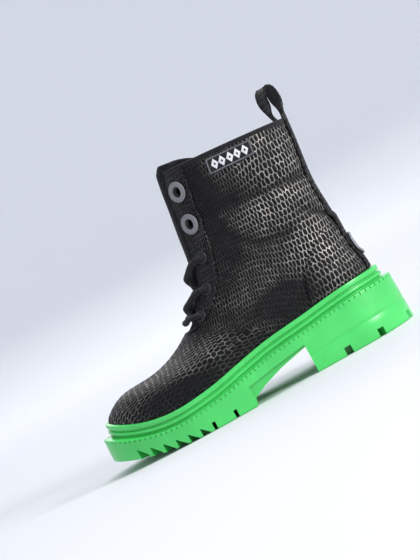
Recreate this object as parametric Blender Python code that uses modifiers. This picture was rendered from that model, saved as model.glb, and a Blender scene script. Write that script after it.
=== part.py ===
# A child's left ankle boot: lace-up front, zip on the inner side, thick moulded sole.
# Metres, +Z up, +X towards the toe, +Y the outer (lateral) side of the left foot.
# The origin is the middle of the heel's tread, on the floor.
import math
from collections import namedtuple

import bmesh
import bpy
import numpy as np
from mathutils import Matrix, Vector

# Sole
LENGTH = 0.235
HEEL_LENGTH = 0.077
HEEL_STACK = 0.0440
BALL_STACK = 0.0255
TOE_RISE = 0.0125
TOE_SPRING = 0.0165
SPRING_FROM = 0.150
RIM = 0.0026
HEEL_RIM = 0.0030
CUP_DEPTH = 0.0075
UPPER_BAND = 0.0046
LOWER_BAND = 0.0034
BAND_GROOVE = 0.0008
LEDGE = 0.0036
TOE_BUMPER = 0.0026
HEEL_BUMPER = 0.0018
WALL_FLARE = 0.0006
TREAD_CHAMFER = 0.0008
ARCH_RECESS = 0.0040
NOTCH_DEPTH = 0.0120
HEEL_NOTCH_WIDTH = 0.0052
HEEL_NOTCH_HEIGHT = 0.0060
BAR_GROOVE_WIDTH = 0.0025
BAR_GROOVE_HEIGHT = 0.0058
SAW_PITCH = 0.0092
SAW_WIDTH = 0.0072
SAW_HEIGHT = 0.0054
INSOLE_THICKNESS = 0.0040

# Upper
BALL_WIDTH = 0.076
UPPER_HEIGHT = 0.128
WALL = 0.0022
THROAT_HALF = 0.013
TOE_SWING = 0.005
ARCH_SWING = 0.002
GAP = 0.0003
LAYER_GAP = 0.00045
COUNTER_GAP = 0.0006

# Pieces on the upper
FACING_WIDTH = 0.0185
FACING_THICKNESS = 0.0011
COUNTER_THICKNESS = 0.0007
COUNTER_HEIGHT = 0.042
COUNTER_REACH = 0.062
STRIP_WIDTH = 0.022
STRIP_THICKNESS = 0.0011
LOOP_HEIGHT = 0.0250
LOOP_DEPTH = 0.0095
BADGE_RADIUS = 0.0095
BADGE_THICKNESS = 0.0015
BADGE_HEIGHT = 0.0195
LABEL_LENGTH = 0.034
LABEL_HEIGHT = 0.0125
LABEL_AT = 0.52
LABEL_THICKNESS = 0.0008
TONGUE_THICKNESS = 0.0028
TONGUE_OVERLAP = 0.0125
TONGUE_SPREAD = 0.0150
TONGUE_BULGE = 0.0040
TONGUE_TOP = 0.0060

# Eyelets and lace
EYELET_INSET = 0.0102
TOP_HOLE_RADIUS = 0.0037
TOP_RING_RADIUS = 0.0074
LOW_HOLE_RADIUS = 0.0024
LOW_RING_RADIUS = 0.0045
EYELET_THICKNESS = 0.0009
BARREL_WALL = 0.0004
LACE_DIAMETER = 0.0036

# Zip
ZIP_SLIT = 0.0096
ZIP_TAPE_WIDTH = 0.026
ZIP_TAPE_THICKNESS = 0.0008
ZIP_CHAIN_WIDTH = 0.0056
ZIP_CHAIN_THICKNESS = 0.0017
SLIDER_WIDTH = 0.0080
SLIDER_LENGTH = 0.0115
SLIDER_THICKNESS = 0.0024
SLIDER_DROP = 0.0190
BRIDGE_RADIUS = 0.0007
PULL_LENGTH = 0.0185
PULL_WIDTH = 0.0064
PULL_THICKNESS = 0.0014
PULL_CLEARANCE = 0.0004

# Sections of the upper from the feather line to the collar. Stations are shares of LENGTH,
# half widths shares of BALL_WIDTH, rises shares of UPPER_HEIGHT above the sole line, throat
# a share of THROAT_HALF, and zip_at the station of the zip's middle.
Ring = namedtuple("Ring", "follow back_rise mid_rise nose_rise back_at nose_at back_half mid_half"
                          " nose_half back_cap nose_cap power toe_in throat zip_at")
RINGS = [
    Ring(1.0, 0.000, 0.000, 0.000, 0.0505, 0.956, 0.368, 0.385, 0.500, 0.14, 0.30, 2.3, 1.0, 1.50, 0.320),
    Ring(1.0, 0.078, 0.090, 0.066, 0.0540, 0.934, 0.385, 0.400, 0.510, 0.15, 0.31, 2.3, 1.0, 1.45, 0.316),
    Ring(0.9, 0.122, 0.117, 0.146, 0.0600, 0.877, 0.388, 0.395, 0.500, 0.17, 0.36, 2.1, 0.8, 1.30, 0.312),
    Ring(0.7, 0.169, 0.163, 0.166, 0.0635, 0.766, 0.388, 0.390, 0.430, 0.20, 0.45, 2.0, 0.5, 1.15, 0.309),
    Ring(0.4, 0.216, 0.218, 0.223, 0.0670, 0.626, 0.385, 0.390, 0.400, 0.25, 0.47, 2.0, 0.2, 1.00, 0.305),
    Ring(0.0, 0.383, 0.367, 0.367, 0.0680, 0.536, 0.388, 0.390, 0.385, 0.33, 0.45, 2.0, 0.1, 1.00, 0.298),
    Ring(0.0, 0.562, 0.578, 0.586, 0.0720, 0.500, 0.400, 0.405, 0.395, 0.38, 0.42, 2.0, 0.0, 1.03, 0.290),
    Ring(0.0, 0.766, 0.785, 0.805, 0.0610, 0.481, 0.415, 0.420, 0.410, 0.40, 0.41, 2.0, 0.0, 1.07, 0.282),
    Ring(0.0, 0.940, 0.972, 1.000, 0.0510, 0.462, 0.420, 0.430, 0.420, 0.42, 0.41, 2.0, 0.0, 1.15, 0.275),
]
# Levels name the sections: 0 is the lasting edge inside the sole's cup, 1 the feather line.
THROAT_LEVEL = 5
COLLAR_LEVEL = len(RINGS)
ZIP_BOTTOM_LEVEL = 1.8
# Columns run from the front centre to the back: throat edge, zip slit's two edges, heel bend, back.
THROAT_COLUMN = 3
ZIP_COLUMNS = (14, 16)
BEND_COLUMN = 19
BACK_COLUMN = 24
HEEL_BEND = 0.048
MESH_LEVELS = (0, 1, 1.4, 1.8, 2.3, 2.7, 3, 3.33, 3.67, 4, 4.33, 4.67, 5, 5.33, 5.67, 6, 6.4, 6.8,
               7.2, 7.6, 8, 8.5, 9)

# The sole line's fall from heel to ball: share of LENGTH, share of the fall that is left.
SOLE_LINE = ((0.00, 1.0), (0.14, 0.98), (0.30, 0.76), (0.42, 0.60), (0.53, 0.34), (0.61, 0.13),
             (0.685, 0.0), (1.0, 0.0))
# The underside of the arch, front of the heel to the ball: share of LENGTH, share of HEEL_STACK.
ARCH_LINE = ((0.00, 0.445), (0.088, 0.342), (0.157, 0.222), (0.197, 0.122), (0.204, -0.010))
# The pull loop's line seen from the side: shares of LOOP_DEPTH forwards and LOOP_HEIGHT up.
LOOP_LINE = ((0.0, 0.0), (-0.04, 0.25), (-0.06, 0.55), (0.04, 0.86), (0.38, 1.0), (0.82, 0.97),
             (1.08, 0.72), (0.96, 0.42), (0.66, 0.12), (0.50, 0.0))

HEEL_CENTRE = HEEL_LENGTH / 2
EYELETS_DOWN = (0.0165, 0.0402, 0.0647, 0.0872, 0.1072)
EYELETS_UNLACED = 2

GREEN = ("sole_green", (0.05, 0.80, 0.16, 1), 0.45, 0.0)
SCALES = ("scale_leather", (0.035, 0.036, 0.040, 1), 0.5, 0.0)
LINING = ("lining", (0.06, 0.065, 0.075, 1), 0.9, 0.0)
BLACK_METAL = ("black_metal", (0.02, 0.02, 0.022, 1), 0.35, 0.6)
GREY_METAL = ("grey_metal", (0.45, 0.46, 0.48, 1), 0.4, 0.8)
CORD = ("black_cord", (0.015, 0.015, 0.017, 1), 0.8, 0.0)
WEB = ("black_web", (0.02, 0.02, 0.023, 1), 0.85, 0.0)


def smooth(value):
    """A ramp from 0 to 1 with level ends."""
    share = np.clip(value, 0.0, 1.0)
    return share * share * (3 - 2 * share)


def natural_spline(points, knots, at):
    """Points on a cubic spline through each row of points, N rows of K points, at one value a row."""
    steps = np.diff(knots, axis=1)
    rows, count = knots.shape
    slopes = np.diff(points, axis=1) / steps[..., None]
    matrix = np.zeros((rows, count, count))
    matrix[:, 0, 0] = matrix[:, -1, -1] = 1.0
    side = np.zeros_like(points)
    for k in range(1, count - 1):
        matrix[:, k, k - 1] = steps[:, k - 1]
        matrix[:, k, k] = 2 * (steps[:, k - 1] + steps[:, k])
        matrix[:, k, k + 1] = steps[:, k]
        side[:, k] = 6 * (slopes[:, k] - slopes[:, k - 1])
    bends = np.linalg.solve(matrix, side)
    row = np.arange(rows)
    part = np.clip((knots[:, 1:] < at[:, None]).sum(axis=1), 0, count - 2)
    step = steps[row, part][:, None]
    low = (at - knots[row, part])[:, None]
    high = step - low
    bend_low, bend_high = bends[row, part], bends[row, part + 1]
    from_low, from_high = points[row, part] / step, points[row, part + 1] / step
    return ((bend_low * high ** 3 + bend_high * low ** 3) / (6 * step)
            + (from_low - bend_low * step / 6) * high + (from_high - bend_high * step / 6) * low)


def table_value(table, share):
    """A smooth value from a table of (share, value) rows."""
    shares = np.array([row[0] for row in table])
    values = np.array([row[1] for row in table])
    share = np.atleast_1d(np.asarray(share, float))
    part = np.clip(np.searchsorted(shares, share) - 1, 0, len(table) - 2)
    slopes = np.gradient(values, shares)
    slopes[0] = slopes[-1] = 0.0
    step = shares[part + 1] - shares[part]
    t = np.clip((share - shares[part]) / step, 0.0, 1.0)
    return ((2 * t ** 3 - 3 * t ** 2 + 1) * values[part] + (t ** 3 - 2 * t ** 2 + t) * step * slopes[part]
            + (3 * t ** 2 - 2 * t ** 3) * values[part + 1] + (t ** 3 - t ** 2) * step * slopes[part + 1])


def feather_height(station):
    """Height of the line where upper and sole meet, at a distance from the back of the heel."""
    share = np.asarray(station, float) / LENGTH
    toe = np.clip((share - 0.70) / 0.26, 0.0, 1.2) ** 2.6
    return BALL_STACK + (HEEL_STACK - BALL_STACK) * table_value(SOLE_LINE, share).reshape(share.shape) \
        + TOE_RISE * toe


def tread_height(station):
    """Height of the tread's underside above the floor: flat, then sprung up towards the toe."""
    share = np.clip((np.asarray(station, float) - SPRING_FROM) / (LENGTH - SPRING_FROM), 0.0, 1.2)
    return TOE_SPRING * share ** 2.8


def half_width(ring, t):
    """Half width of a section at a share of its length, from the back."""
    mid = (ring.back_cap + 1 - ring.nose_cap) / 2
    back = np.clip((ring.back_cap - t) / ring.back_cap, 0, 1)
    nose = np.clip((t - 1 + ring.nose_cap) / ring.nose_cap, 0, 1)
    body = ring.back_half + (ring.mid_half - ring.back_half) * smooth((t - ring.back_cap) / (mid - ring.back_cap))
    body = body + (ring.nose_half - ring.mid_half) * smooth((t - mid) / (1 - ring.nose_cap - mid))
    ends = np.sqrt(1 - back ** 2) * (1 - nose ** ring.power) ** (1 / ring.power)
    return BALL_WIDTH * body * ends


def ring_side(ring, side):
    """One half of a section, from its nose round to its back, as dense points, with its running length."""
    t = (1 + np.cos(np.linspace(0, math.pi, 121))) / 2
    station = LENGTH * (ring.back_at + (ring.nose_at - ring.back_at) * t)
    middle = ARCH_SWING * ring.follow * smooth(1 - np.abs(t - 0.42) / 0.3) \
        - TOE_SWING * ring.toe_in * smooth((t - 0.6) / 0.4)
    rise = ring.back_rise * (2 * t - 1) * (t - 1) + ring.mid_rise * 4 * t * (1 - t) \
        + ring.nose_rise * t * (2 * t - 1)
    z = ring.follow * feather_height(station) + (1 - ring.follow) * HEEL_STACK + UPPER_HEIGHT * rise
    points = np.stack([station - HEEL_CENTRE, middle + side * half_width(ring, t), z], axis=1)
    run = np.concatenate([[0.0], np.cumsum(np.linalg.norm(np.diff(points, axis=0), axis=1))])
    return points, run


def lowered(points, drop):
    return points - np.array([0.0, 0.0, drop])


MARK_COLUMNS = (0, THROAT_COLUMN, ZIP_COLUMNS[0], ZIP_COLUMNS[1], BEND_COLUMN, BACK_COLUMN)
HALVES = {side: [ring_side(ring, side) for ring in RINGS] for side in (1, -1)}


def column_marks(ring, half):
    """Distances round a section at which the marked columns lie."""
    points, run = half
    length = run[-1]
    zip_at = float(np.interp(HEEL_CENTRE - LENGTH * ring.zip_at, -points[:, 0], run))
    bend = length - min(HEEL_BEND, (length - zip_at) * 0.55)
    return (0.0, ring.throat * THROAT_HALF, zip_at - ZIP_SLIT / 2, zip_at + ZIP_SLIT / 2, bend, length)


def key_points(column, side):
    """The points of every section on each column of one side: N columns, one row each."""
    rows = []
    for ring, (points, run) in zip(RINGS, HALVES[side]):
        distance = np.interp(column, MARK_COLUMNS, column_marks(ring, (points, run)))
        rows.append(np.stack([np.interp(distance, run, points[:, axis]) for axis in range(3)], axis=1))
    return np.stack([lowered(rows[0], CUP_DEPTH - GAP)] + rows, axis=1)


def form(column, level):
    """Points on the upper's outer form. A column above 0 is on the outer side, below 0 on the inner."""
    column, level = (np.array(v, float).ravel() for v in np.broadcast_arrays(column, level))
    column = (column + BACK_COLUMN) % (2 * BACK_COLUMN) - BACK_COLUMN
    keys = np.empty((len(column), COLLAR_LEVEL + 1, 3))
    for side in (1, -1):
        chosen = (column >= 0) if side > 0 else (column < 0)
        if chosen.any():
            keys[chosen] = key_points(np.abs(column[chosen]), side)
    steps = np.sqrt(np.linalg.norm(np.diff(keys, axis=1), axis=2))
    knots = np.concatenate([np.zeros((len(column), 1)), np.cumsum(steps, axis=1)], axis=1)
    inside = np.clip(level, 0, COLLAR_LEVEL)
    part = np.clip(inside.astype(int), 0, COLLAR_LEVEL - 1)
    row = np.arange(len(column))
    at = knots[row, part] + steps[row, part] * (inside - part)
    return natural_spline(keys, knots, at)


def form_normal(column, level):
    """Outward normals of the outer form."""
    column, level = (np.array(v, float).ravel() for v in np.broadcast_arrays(column, level))
    level = np.clip(level, 0.02, COLLAR_LEVEL - 0.02)
    along = form(column + 0.05, level) - form(column - 0.05, level)
    high, low = level + 0.02, level - 0.02
    normal = np.cross(along, form(column, high) - form(column, low))
    return normal / np.linalg.norm(normal, axis=1)[:, None]


def on_form(column, level, offset=0.0):
    """Points at a distance outside the outer form. Levels above the collar run straight up from it."""
    column, level, offset = np.broadcast_arrays(*(np.asarray(v, float) for v in (column, level, offset)))
    shape = column.shape
    points = form(column, level) + form_normal(column, level) * offset.reshape(-1, 1)
    over = np.clip(level.ravel() - COLLAR_LEVEL, 0, None)
    if over.any():
        rise = form(column, COLLAR_LEVEL) - form(column, COLLAR_LEVEL - 0.3)
        rise /= np.linalg.norm(rise, axis=1)[:, None]
        points += rise * (over * UPPER_HEIGHT)[:, None]
    return points.reshape(shape + (3,))


def column_at(distance, level, side):
    """The column at a distance round from the front centre, at one level, on one side."""
    levels = np.arange(1, COLLAR_LEVEL + 1)
    marks = np.array([column_marks(ring, half) for ring, half in zip(RINGS, HALVES[side])])
    here = [np.interp(level, levels, marks[:, m]) for m in range(marks.shape[1])]
    return side * float(np.interp(distance, here, MARK_COLUMNS))


def girth(level, side):
    """Distance round one side from front to back at a level."""
    return float(np.interp(level, np.arange(1, COLLAR_LEVEL + 1), [run[-1] for _, run in HALVES[side]]))


def material(finish):
    name, colour, roughness, metallic = finish
    found = bpy.data.materials.get(name)
    if found:
        return found
    made = bpy.data.materials.new(name)
    made.use_nodes = True
    shader = made.node_tree.nodes["Principled BSDF"]
    shader.inputs["Base Color"].default_value = colour
    shader.inputs["Roughness"].default_value = roughness
    shader.inputs["Metallic"].default_value = metallic
    return made


def collection(name):
    found = bpy.data.collections.get(name)
    if not found:
        found = bpy.data.collections.new(name)
        bpy.context.scene.collection.children.link(found)
    return found


def add_mesh(name, vertices, faces, finish=None):
    """A named object from computed points: a boot piece with a finish, or a hidden cutter without one."""
    mesh = bpy.data.meshes.new(name)
    mesh.from_pydata([tuple(v) for v in vertices], [], faces)
    mesh.update()
    obj = bpy.data.objects.new(name, mesh)
    if finish:
        collection("boot").objects.link(obj)
        mesh.materials.append(material(finish))
        mesh.shade_smooth()
        mesh.set_sharp_from_angle(angle=math.radians(40))
    else:
        collection("cutters").objects.link(obj)
        obj.hide_render = True
        obj.display_type = "WIRE"
    return obj


def grid_faces(rows, columns, closed=False, skip=lambda row, column: False):
    """Quads between the rows of a grid, round a closed grid too, without the skipped ones."""
    faces = []
    for r in range(rows - 1):
        for c in range(columns if closed else columns - 1):
            if skip(r, c):
                continue
            n = (c + 1) % columns
            faces.append((r * columns + c, r * columns + n, (r + 1) * columns + n, (r + 1) * columns + c))
    return faces


def shell(name, points, finish, thickness, outward, closed=False, skip=lambda row, column: False):
    """A wall from a grid of points, thickened outwards or inwards, with unused points left out."""
    rows, columns = points.shape[:2]
    faces = grid_faces(rows, columns, closed, skip)
    used = sorted({v for face in faces for v in face})
    place = {v: n for n, v in enumerate(used)}
    flat = points.reshape(-1, 3)
    obj = add_mesh(name, flat[used], [[place[v] for v in face] for face in faces], finish)
    wall = obj.modifiers.new("wall", "SOLIDIFY")
    wall.thickness = thickness
    wall.offset = 1.0 if outward else -1.0
    return obj


def cut(obj, cutter):
    modifier = obj.modifiers.new("cut_" + cutter.name, "BOOLEAN")
    modifier.operation = "DIFFERENCE"
    modifier.object = cutter
    return modifier


def join_cutters(name, cutters):
    """One hidden cutter from several separate ones."""
    vertices, faces = [], []
    for cutter in cutters:
        first = len(vertices)
        vertices += [cutter.matrix_world @ v.co for v in cutter.data.vertices]
        faces += [[first + v for v in face.vertices] for face in cutter.data.polygons]
        bpy.data.objects.remove(cutter)
    return add_mesh(name, vertices, faces)


def prism(name, outline, low, high, frame):
    """A cutter: a side outline of (forward, up) points, counter-clockwise seen from the outer side's
    opposite, run from low to high across, placed by a matrix."""
    count = len(outline)
    vertices = [frame @ Vector((x, y, z)) for y in (low, high) for x, z in outline]
    faces = [tuple(range(count)), tuple(reversed(range(count, 2 * count)))]
    faces += [(n, n + count, (n + 1) % count + count, (n + 1) % count) for n in range(count)]
    obj = add_mesh(name, vertices, faces)
    shape = bmesh.new()
    shape.from_mesh(obj.data)
    bmesh.ops.recalc_face_normals(shape, faces=shape.faces)
    shape.to_mesh(obj.data)
    shape.free()
    return obj


def mesh_from_curve(obj, finish):
    """A curve's evaluated tube as a closed mesh object of the same name."""
    bpy.context.view_layer.update()
    evaluated = obj.evaluated_get(bpy.context.evaluated_depsgraph_get())
    mesh = bpy.data.meshes.new_from_object(evaluated)
    shape = bmesh.new()
    shape.from_mesh(mesh)
    bmesh.ops.remove_doubles(shape, verts=shape.verts, dist=1e-6)
    shape.to_mesh(mesh)
    shape.free()
    name, place = obj.name, obj.matrix_world.copy()
    bpy.data.objects.remove(obj)
    made = bpy.data.objects.new(name, mesh)
    made.matrix_world = place
    mesh.materials.clear()
    mesh.materials.append(material(finish))
    collection("boot").objects.link(made)
    return made


def tube(name, points, diameter):
    """A round cord along a smooth line through a few points."""
    route = np.array(points, float)
    knots = np.concatenate([[0.0], np.cumsum(np.linalg.norm(np.diff(route, axis=0), axis=1))])
    at = np.linspace(0, knots[-1], 13)
    line = natural_spline(np.repeat(route[None], len(at), 0), np.repeat(knots[None], len(at), 0), at)
    curve = bpy.data.curves.new(name, "CURVE")
    curve.dimensions = "3D"
    curve.bevel_depth = diameter / 2
    curve.bevel_resolution = 2
    curve.use_fill_caps = True
    spline = curve.splines.new("POLY")
    spline.points.add(len(line) - 1)
    for point, place in zip(spline.points, line):
        point.co = (*place, 1.0)
    obj = bpy.data.objects.new(name, curve)
    collection("boot").objects.link(obj)
    return obj


def turned(name, profile, finish, place, segments=12):
    """A ring turned from (radius, height) points, listed down its outer side, standing in a frame."""
    mesh = bpy.data.meshes.new(name)
    count = len(profile)
    mesh.from_pydata([(r, 0.0, h) for r, h in profile], [(n, (n + 1) % count) for n in range(count)], [])
    obj = bpy.data.objects.new(name, mesh)
    collection("boot").objects.link(obj)
    mesh.materials.append(material(finish))
    obj.matrix_world = place
    screw = obj.modifiers.new("turn", "SCREW")
    screw.steps = screw.render_steps = segments
    screw.use_merge_vertices = True
    screw.merge_threshold = 0.00001
    screw.use_normal_calculate = True
    screw.use_smooth_shade = True
    return obj


def form_frame(column, level, offset, upright=False):
    """A frame on the outer form: X round the boot, Y up it and Z outwards."""
    place = Vector(on_form(column, level, offset).reshape(3))
    out = Vector(form_normal(column, level)[0])
    up = Vector((form(column, level + 0.05) - form(column, level - 0.05))[0])
    if upright:
        up = Vector((0, 0, 1))
    out = (out - up * (out @ up) / (up @ up)).normalized()
    up.normalize()
    across = up.cross(out)
    turn = Matrix((across, up, out)).transposed().to_4x4()
    return Matrix.Translation(place) @ turn


def wall_columns():
    """The mesh columns of the whole upper, from the outer side's front round to the inner side's."""
    return np.concatenate([np.arange(0, BACK_COLUMN + 1), np.arange(-BACK_COLUMN + 1, 0)]).astype(float)


def sole_outline(extra):
    """The sole's outline in plan, one point a column: the feather line moved out by extra metres."""
    columns = wall_columns()
    base = form(columns, 1.0)
    along = form(columns + 0.05, 1.0) - form(columns - 0.05, 1.0)
    out = np.stack([along[:, 1], -along[:, 0]], axis=1)
    out /= np.linalg.norm(out, axis=1)[:, None]
    moved = base.copy()
    moved[:, :2] += out * np.reshape(extra, (-1, 1))
    return moved, base[:, 0] + HEEL_CENTRE


def ladder_faces(first, flip):
    """Faces across the boot between its two sides, from nose to back, over one outline's points."""
    count = 2 * BACK_COLUMN
    faces = []
    for c in range(BACK_COLUMN):
        ring = [c, c + 1, (count - c - 1) % count, (count - c) % count]
        face = [first + v for n, v in enumerate(ring) if v not in ring[:n]]
        faces.append(face[::-1] if flip else face)
    return faces


def outline_solid(name, rows, finish):
    """A closed solid from outlines of equal count, from its top floor out and down to its underside."""
    count = 2 * BACK_COLUMN
    points = np.stack(rows)
    faces = grid_faces(len(rows), count, closed=True)
    faces = [face[::-1] for face in faces]
    faces += ladder_faces(0, flip=True) + ladder_faces((len(rows) - 1) * count, flip=False)
    obj = add_mesh(name, points.reshape(-1, 3), faces, finish)
    shape = bmesh.new()
    shape.from_mesh(obj.data)
    bmesh.ops.recalc_face_normals(shape, faces=shape.faces)
    shape.to_mesh(obj.data)
    shape.free()
    return obj


def rim_extra():
    """How far the sole's rim stands out from the upper at each column: more under the back strip."""
    return GAP + RIM + HEEL_RIM * smooth(np.abs(wall_columns()) / BACK_COLUMN * 8 - 7)


def sole_wall_extra():
    """How far the sole's lower wall stands out from the upper at each column: more at toe and heel."""
    share = np.abs(wall_columns()) / BACK_COLUMN
    return rim_extra() + LEDGE + TOE_BUMPER * smooth(1 - share / 0.35) + HEEL_BUMPER * smooth(share * 4 - 3)


def sole_side(station, side):
    """Plan place and outward direction of the sole's lower wall at a station on one side."""
    outline, _ = sole_outline(sole_wall_extra() + WALL_FLARE)
    columns = wall_columns()
    half = outline[(columns >= 0) if side > 0 else (columns <= 0)]
    half = half[half[:, 1] * side > 0] if side else half
    half = half[np.argsort(half[:, 0])]
    x = station - HEEL_CENTRE
    y = float(np.interp(x, half[:, 0], half[:, 1]))
    slope = (np.interp(x + 0.004, half[:, 0], half[:, 1]) - np.interp(x - 0.004, half[:, 0], half[:, 1])) / 0.008
    out = Vector((-side * slope, side, 0)).normalized()
    return Vector((x, y, 0)), out


def side_notch(name, station, side, outline, lift=0.0):
    """A notch cutter that runs straight in from the sole's side, with a (forward, up) outline."""
    place, out = sole_side(station, side)
    forward = out.cross(Vector((0, 0, 1))) * (1 if out.y > 0 else -1)
    turn = Matrix((forward, out, Vector((0, 0, 1)))).transposed().to_4x4()
    return prism(name, outline, -NOTCH_DEPTH, 0.01, Matrix.Translation(place + Vector((0, 0, lift))) @ turn)


def box_outline(width, height):
    return [(-width / 2, -0.01), (width / 2, -0.01), (width / 2, height), (-width / 2, height)]


def arch_cutters():
    """The hollow under the arch and the two steps that set its sides in."""
    plain = Matrix.Translation((-HEEL_CENTRE, 0, 0))
    line = [(HEEL_LENGTH + LENGTH * s, HEEL_STACK * h) for s, h in ARCH_LINE]
    under = prism("arch_cutter", line + [(line[-1][0], -0.01), (HEEL_LENGTH, -0.01)], -0.08, 0.08, plain)
    steps = []
    start, end = HEEL_LENGTH, HEEL_LENGTH + LENGTH * 0.200
    for side in (1, -1):
        vertices = []
        for station in np.linspace(start, end, 6):
            place, _ = sole_side(station, side)
            lip = feather_height(station) - UPPER_BAND - LOWER_BAND
            top = lip - (lip - tread_height(station)) * (0.31 + 0.09 * (station - start) / (end - start))
            for y, z in ((place.y - side * ARCH_RECESS, -0.01), (place.y + side * 0.01, -0.01),
                         (place.y + side * 0.01, top), (place.y - side * ARCH_RECESS, top)):
                vertices.append((place.x, y, z))
        faces = [(r * 4 + c, r * 4 + (c + 1) % 4, r * 4 + 4 + (c + 1) % 4, r * 4 + 4 + c)
                 for r in range(5) for c in range(4)]
        step = add_mesh("arch_step", vertices, faces + [(3, 2, 1, 0), (20, 21, 22, 23)])
        shape = bmesh.new()
        shape.from_mesh(step.data)
        bmesh.ops.recalc_face_normals(shape, faces=shape.faces)
        shape.to_mesh(step.data)
        shape.free()
        steps.append(step)
    return under, join_cutters("arch_step_cutter", steps)


def tread_cutter():
    """All the tread's notches: heel, forefoot bars and the saw teeth up to the toe."""
    cutters = []
    for side in (1, -1):
        for share in (0.335, 0.672):
            cutters.append(side_notch("heel_notch", HEEL_LENGTH * share, side,
                                      box_outline(HEEL_NOTCH_WIDTH, HEEL_NOTCH_HEIGHT)))
        for tooth in range(6):
            station = LENGTH * 0.713 + SAW_PITCH * tooth
            lift = float(tread_height(station))
            outline = [(0, -0.01), (0, SAW_HEIGHT), (-0.0008, SAW_HEIGHT), (-SAW_WIDTH, -0.0004),
                       (-SAW_WIDTH, -0.01)]
            cutters.append(side_notch("saw_notch", station, side, outline, lift))
    for share in (0.596, 0.668):
        bar = Matrix.Translation((LENGTH * share - HEEL_CENTRE, 0, 0))
        cutters.append(prism("bar_groove", box_outline(BAR_GROOVE_WIDTH, BAR_GROOVE_HEIGHT), -0.08, 0.08, bar))
    back = float(sole_outline(sole_wall_extra())[0][BACK_COLUMN, 0])
    for side in (1, -1):
        turn = Matrix.Translation((back, side * BALL_WIDTH * 0.150, 0)) @ Matrix.Rotation(math.pi / 2, 4, "Z")
        cutters.append(prism("back_notch", box_outline(HEEL_NOTCH_WIDTH, HEEL_NOTCH_HEIGHT),
                             -NOTCH_DEPTH, 0.01, turn))
    return join_cutters("tread_cutter", cutters)


def build_sole():
    """The moulded sole: a cup that holds the upper, two bands, a ledge, and a lugged wall."""
    rim = rim_extra()
    wall = sole_wall_extra()
    band_foot = UPPER_BAND + LOWER_BAND
    profile = [
        (GAP, CUP_DEPTH), (GAP, 0.0), (rim - 0.0006, 0.0), (rim, 0.0006), (rim + 0.0002, UPPER_BAND - 0.0009),
        (rim + 0.0002 - BAND_GROOVE, UPPER_BAND - 0.0004), (rim + 0.0002 - BAND_GROOVE, UPPER_BAND),
        (rim + 0.0005, UPPER_BAND + 0.0004), (rim + 0.0006, band_foot - 0.0004),
        (rim + 0.0006 - BAND_GROOVE, band_foot), (rim + 0.0006 - BAND_GROOVE, band_foot + 0.0013),
        (wall - 0.0008, band_foot + 0.0015), (wall, band_foot + 0.0023),
    ]
    rows = []
    for extra, drop in profile:
        outline, station = sole_outline(np.broadcast_to(extra, 2 * BACK_COLUMN))
        outline[:, 2] = feather_height(station) - drop
        rows.append(outline)
    for extra, lift in ((wall + WALL_FLARE, TREAD_CHAMFER), (wall + WALL_FLARE - TREAD_CHAMFER, 0.0)):
        outline, _ = sole_outline(extra)
        outline[:, 2] = tread_height(outline[:, 0] + HEEL_CENTRE) + lift
        rows.append(outline)
    sole = outline_solid("sole_unit", rows, GREEN)
    under, steps = arch_cutters()
    for cutter in (steps, under, tread_cutter()):
        cut(sole, cutter).use_self = True


def build_insole():
    """The footbed, on the cup's floor inside the upper."""
    rows = []
    for inset, drop in ((0.0012, CUP_DEPTH - GAP - INSOLE_THICKNESS), (0.0, CUP_DEPTH - GAP - INSOLE_THICKNESS + 0.001),
                        (0.0, CUP_DEPTH - GAP)):
        outline, station = sole_outline(np.full(2 * BACK_COLUMN, -WALL - LAYER_GAP - inset))
        outline[:, 2] = feather_height(station) - drop
        rows.append(outline)
    outline_solid("insole", rows, LINING)


def eyelet_places(side):
    """Column, level and kind of each eyelet on one side, from the collar down."""
    levels = np.linspace(THROAT_LEVEL, COLLAR_LEVEL, 60)
    columns = np.array([column_at(THROAT_HALF + EYELET_INSET, level, side) for level in levels])
    line = form(columns, levels)
    down = np.concatenate([[0.0], np.cumsum(np.linalg.norm(np.diff(line[::-1], axis=0), axis=1))])
    found = []
    for n, distance in enumerate(EYELETS_DOWN):
        level = float(np.interp(distance, down, levels[::-1]))
        throat = float(np.interp(level, np.arange(1, COLLAR_LEVEL + 1), [r.throat for r in RINGS])) * THROAT_HALF
        found.append((column_at(throat + EYELET_INSET, level, side), level, n < EYELETS_UNLACED))
    return found


def eyelet_cutter(name, sides):
    """Round holes through every layer under the eyelets."""
    cutters = []
    for side in sides:
        for column, level, large in eyelet_places(side):
            radius = (TOP_HOLE_RADIUS if large else LOW_HOLE_RADIUS) + BARREL_WALL + GAP
            shape = bmesh.new()
            bmesh.ops.create_cone(shape, cap_ends=True, segments=14, radius1=radius, radius2=radius, depth=0.016,
                                  matrix=form_frame(column, level, 0.0))
            mesh = bpy.data.meshes.new(name)
            shape.to_mesh(mesh)
            shape.free()
            obj = bpy.data.objects.new(name, mesh)
            collection("cutters").objects.link(obj)
            cutters.append(obj)
    return join_cutters(name, cutters)


def build_upper():
    """The upper: one wall, open at collar, throat and zip slit, and underneath."""
    columns = wall_columns()
    levels = np.array(MESH_LEVELS, float)
    points = on_form(columns[None, :], levels[:, None])
    count = 2 * BACK_COLUMN

    def opening(row, column):
        throat = levels[row] >= THROAT_LEVEL and (column < THROAT_COLUMN or column >= count - THROAT_COLUMN)
        inner = count - column - 1
        slit = levels[row] >= ZIP_BOTTOM_LEVEL and ZIP_COLUMNS[0] <= inner < ZIP_COLUMNS[1]
        return throat or slit

    upper = shell("upper", points, SCALES, WALL, outward=False, closed=True, skip=opening)
    cut(upper, eyelet_cutter("upper_eyelet_holes", (1, -1)))


def throat_edge(level):
    return float(np.interp(level, np.arange(1, COLLAR_LEVEL + 1), [r.throat for r in RINGS])) * THROAT_HALF


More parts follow.
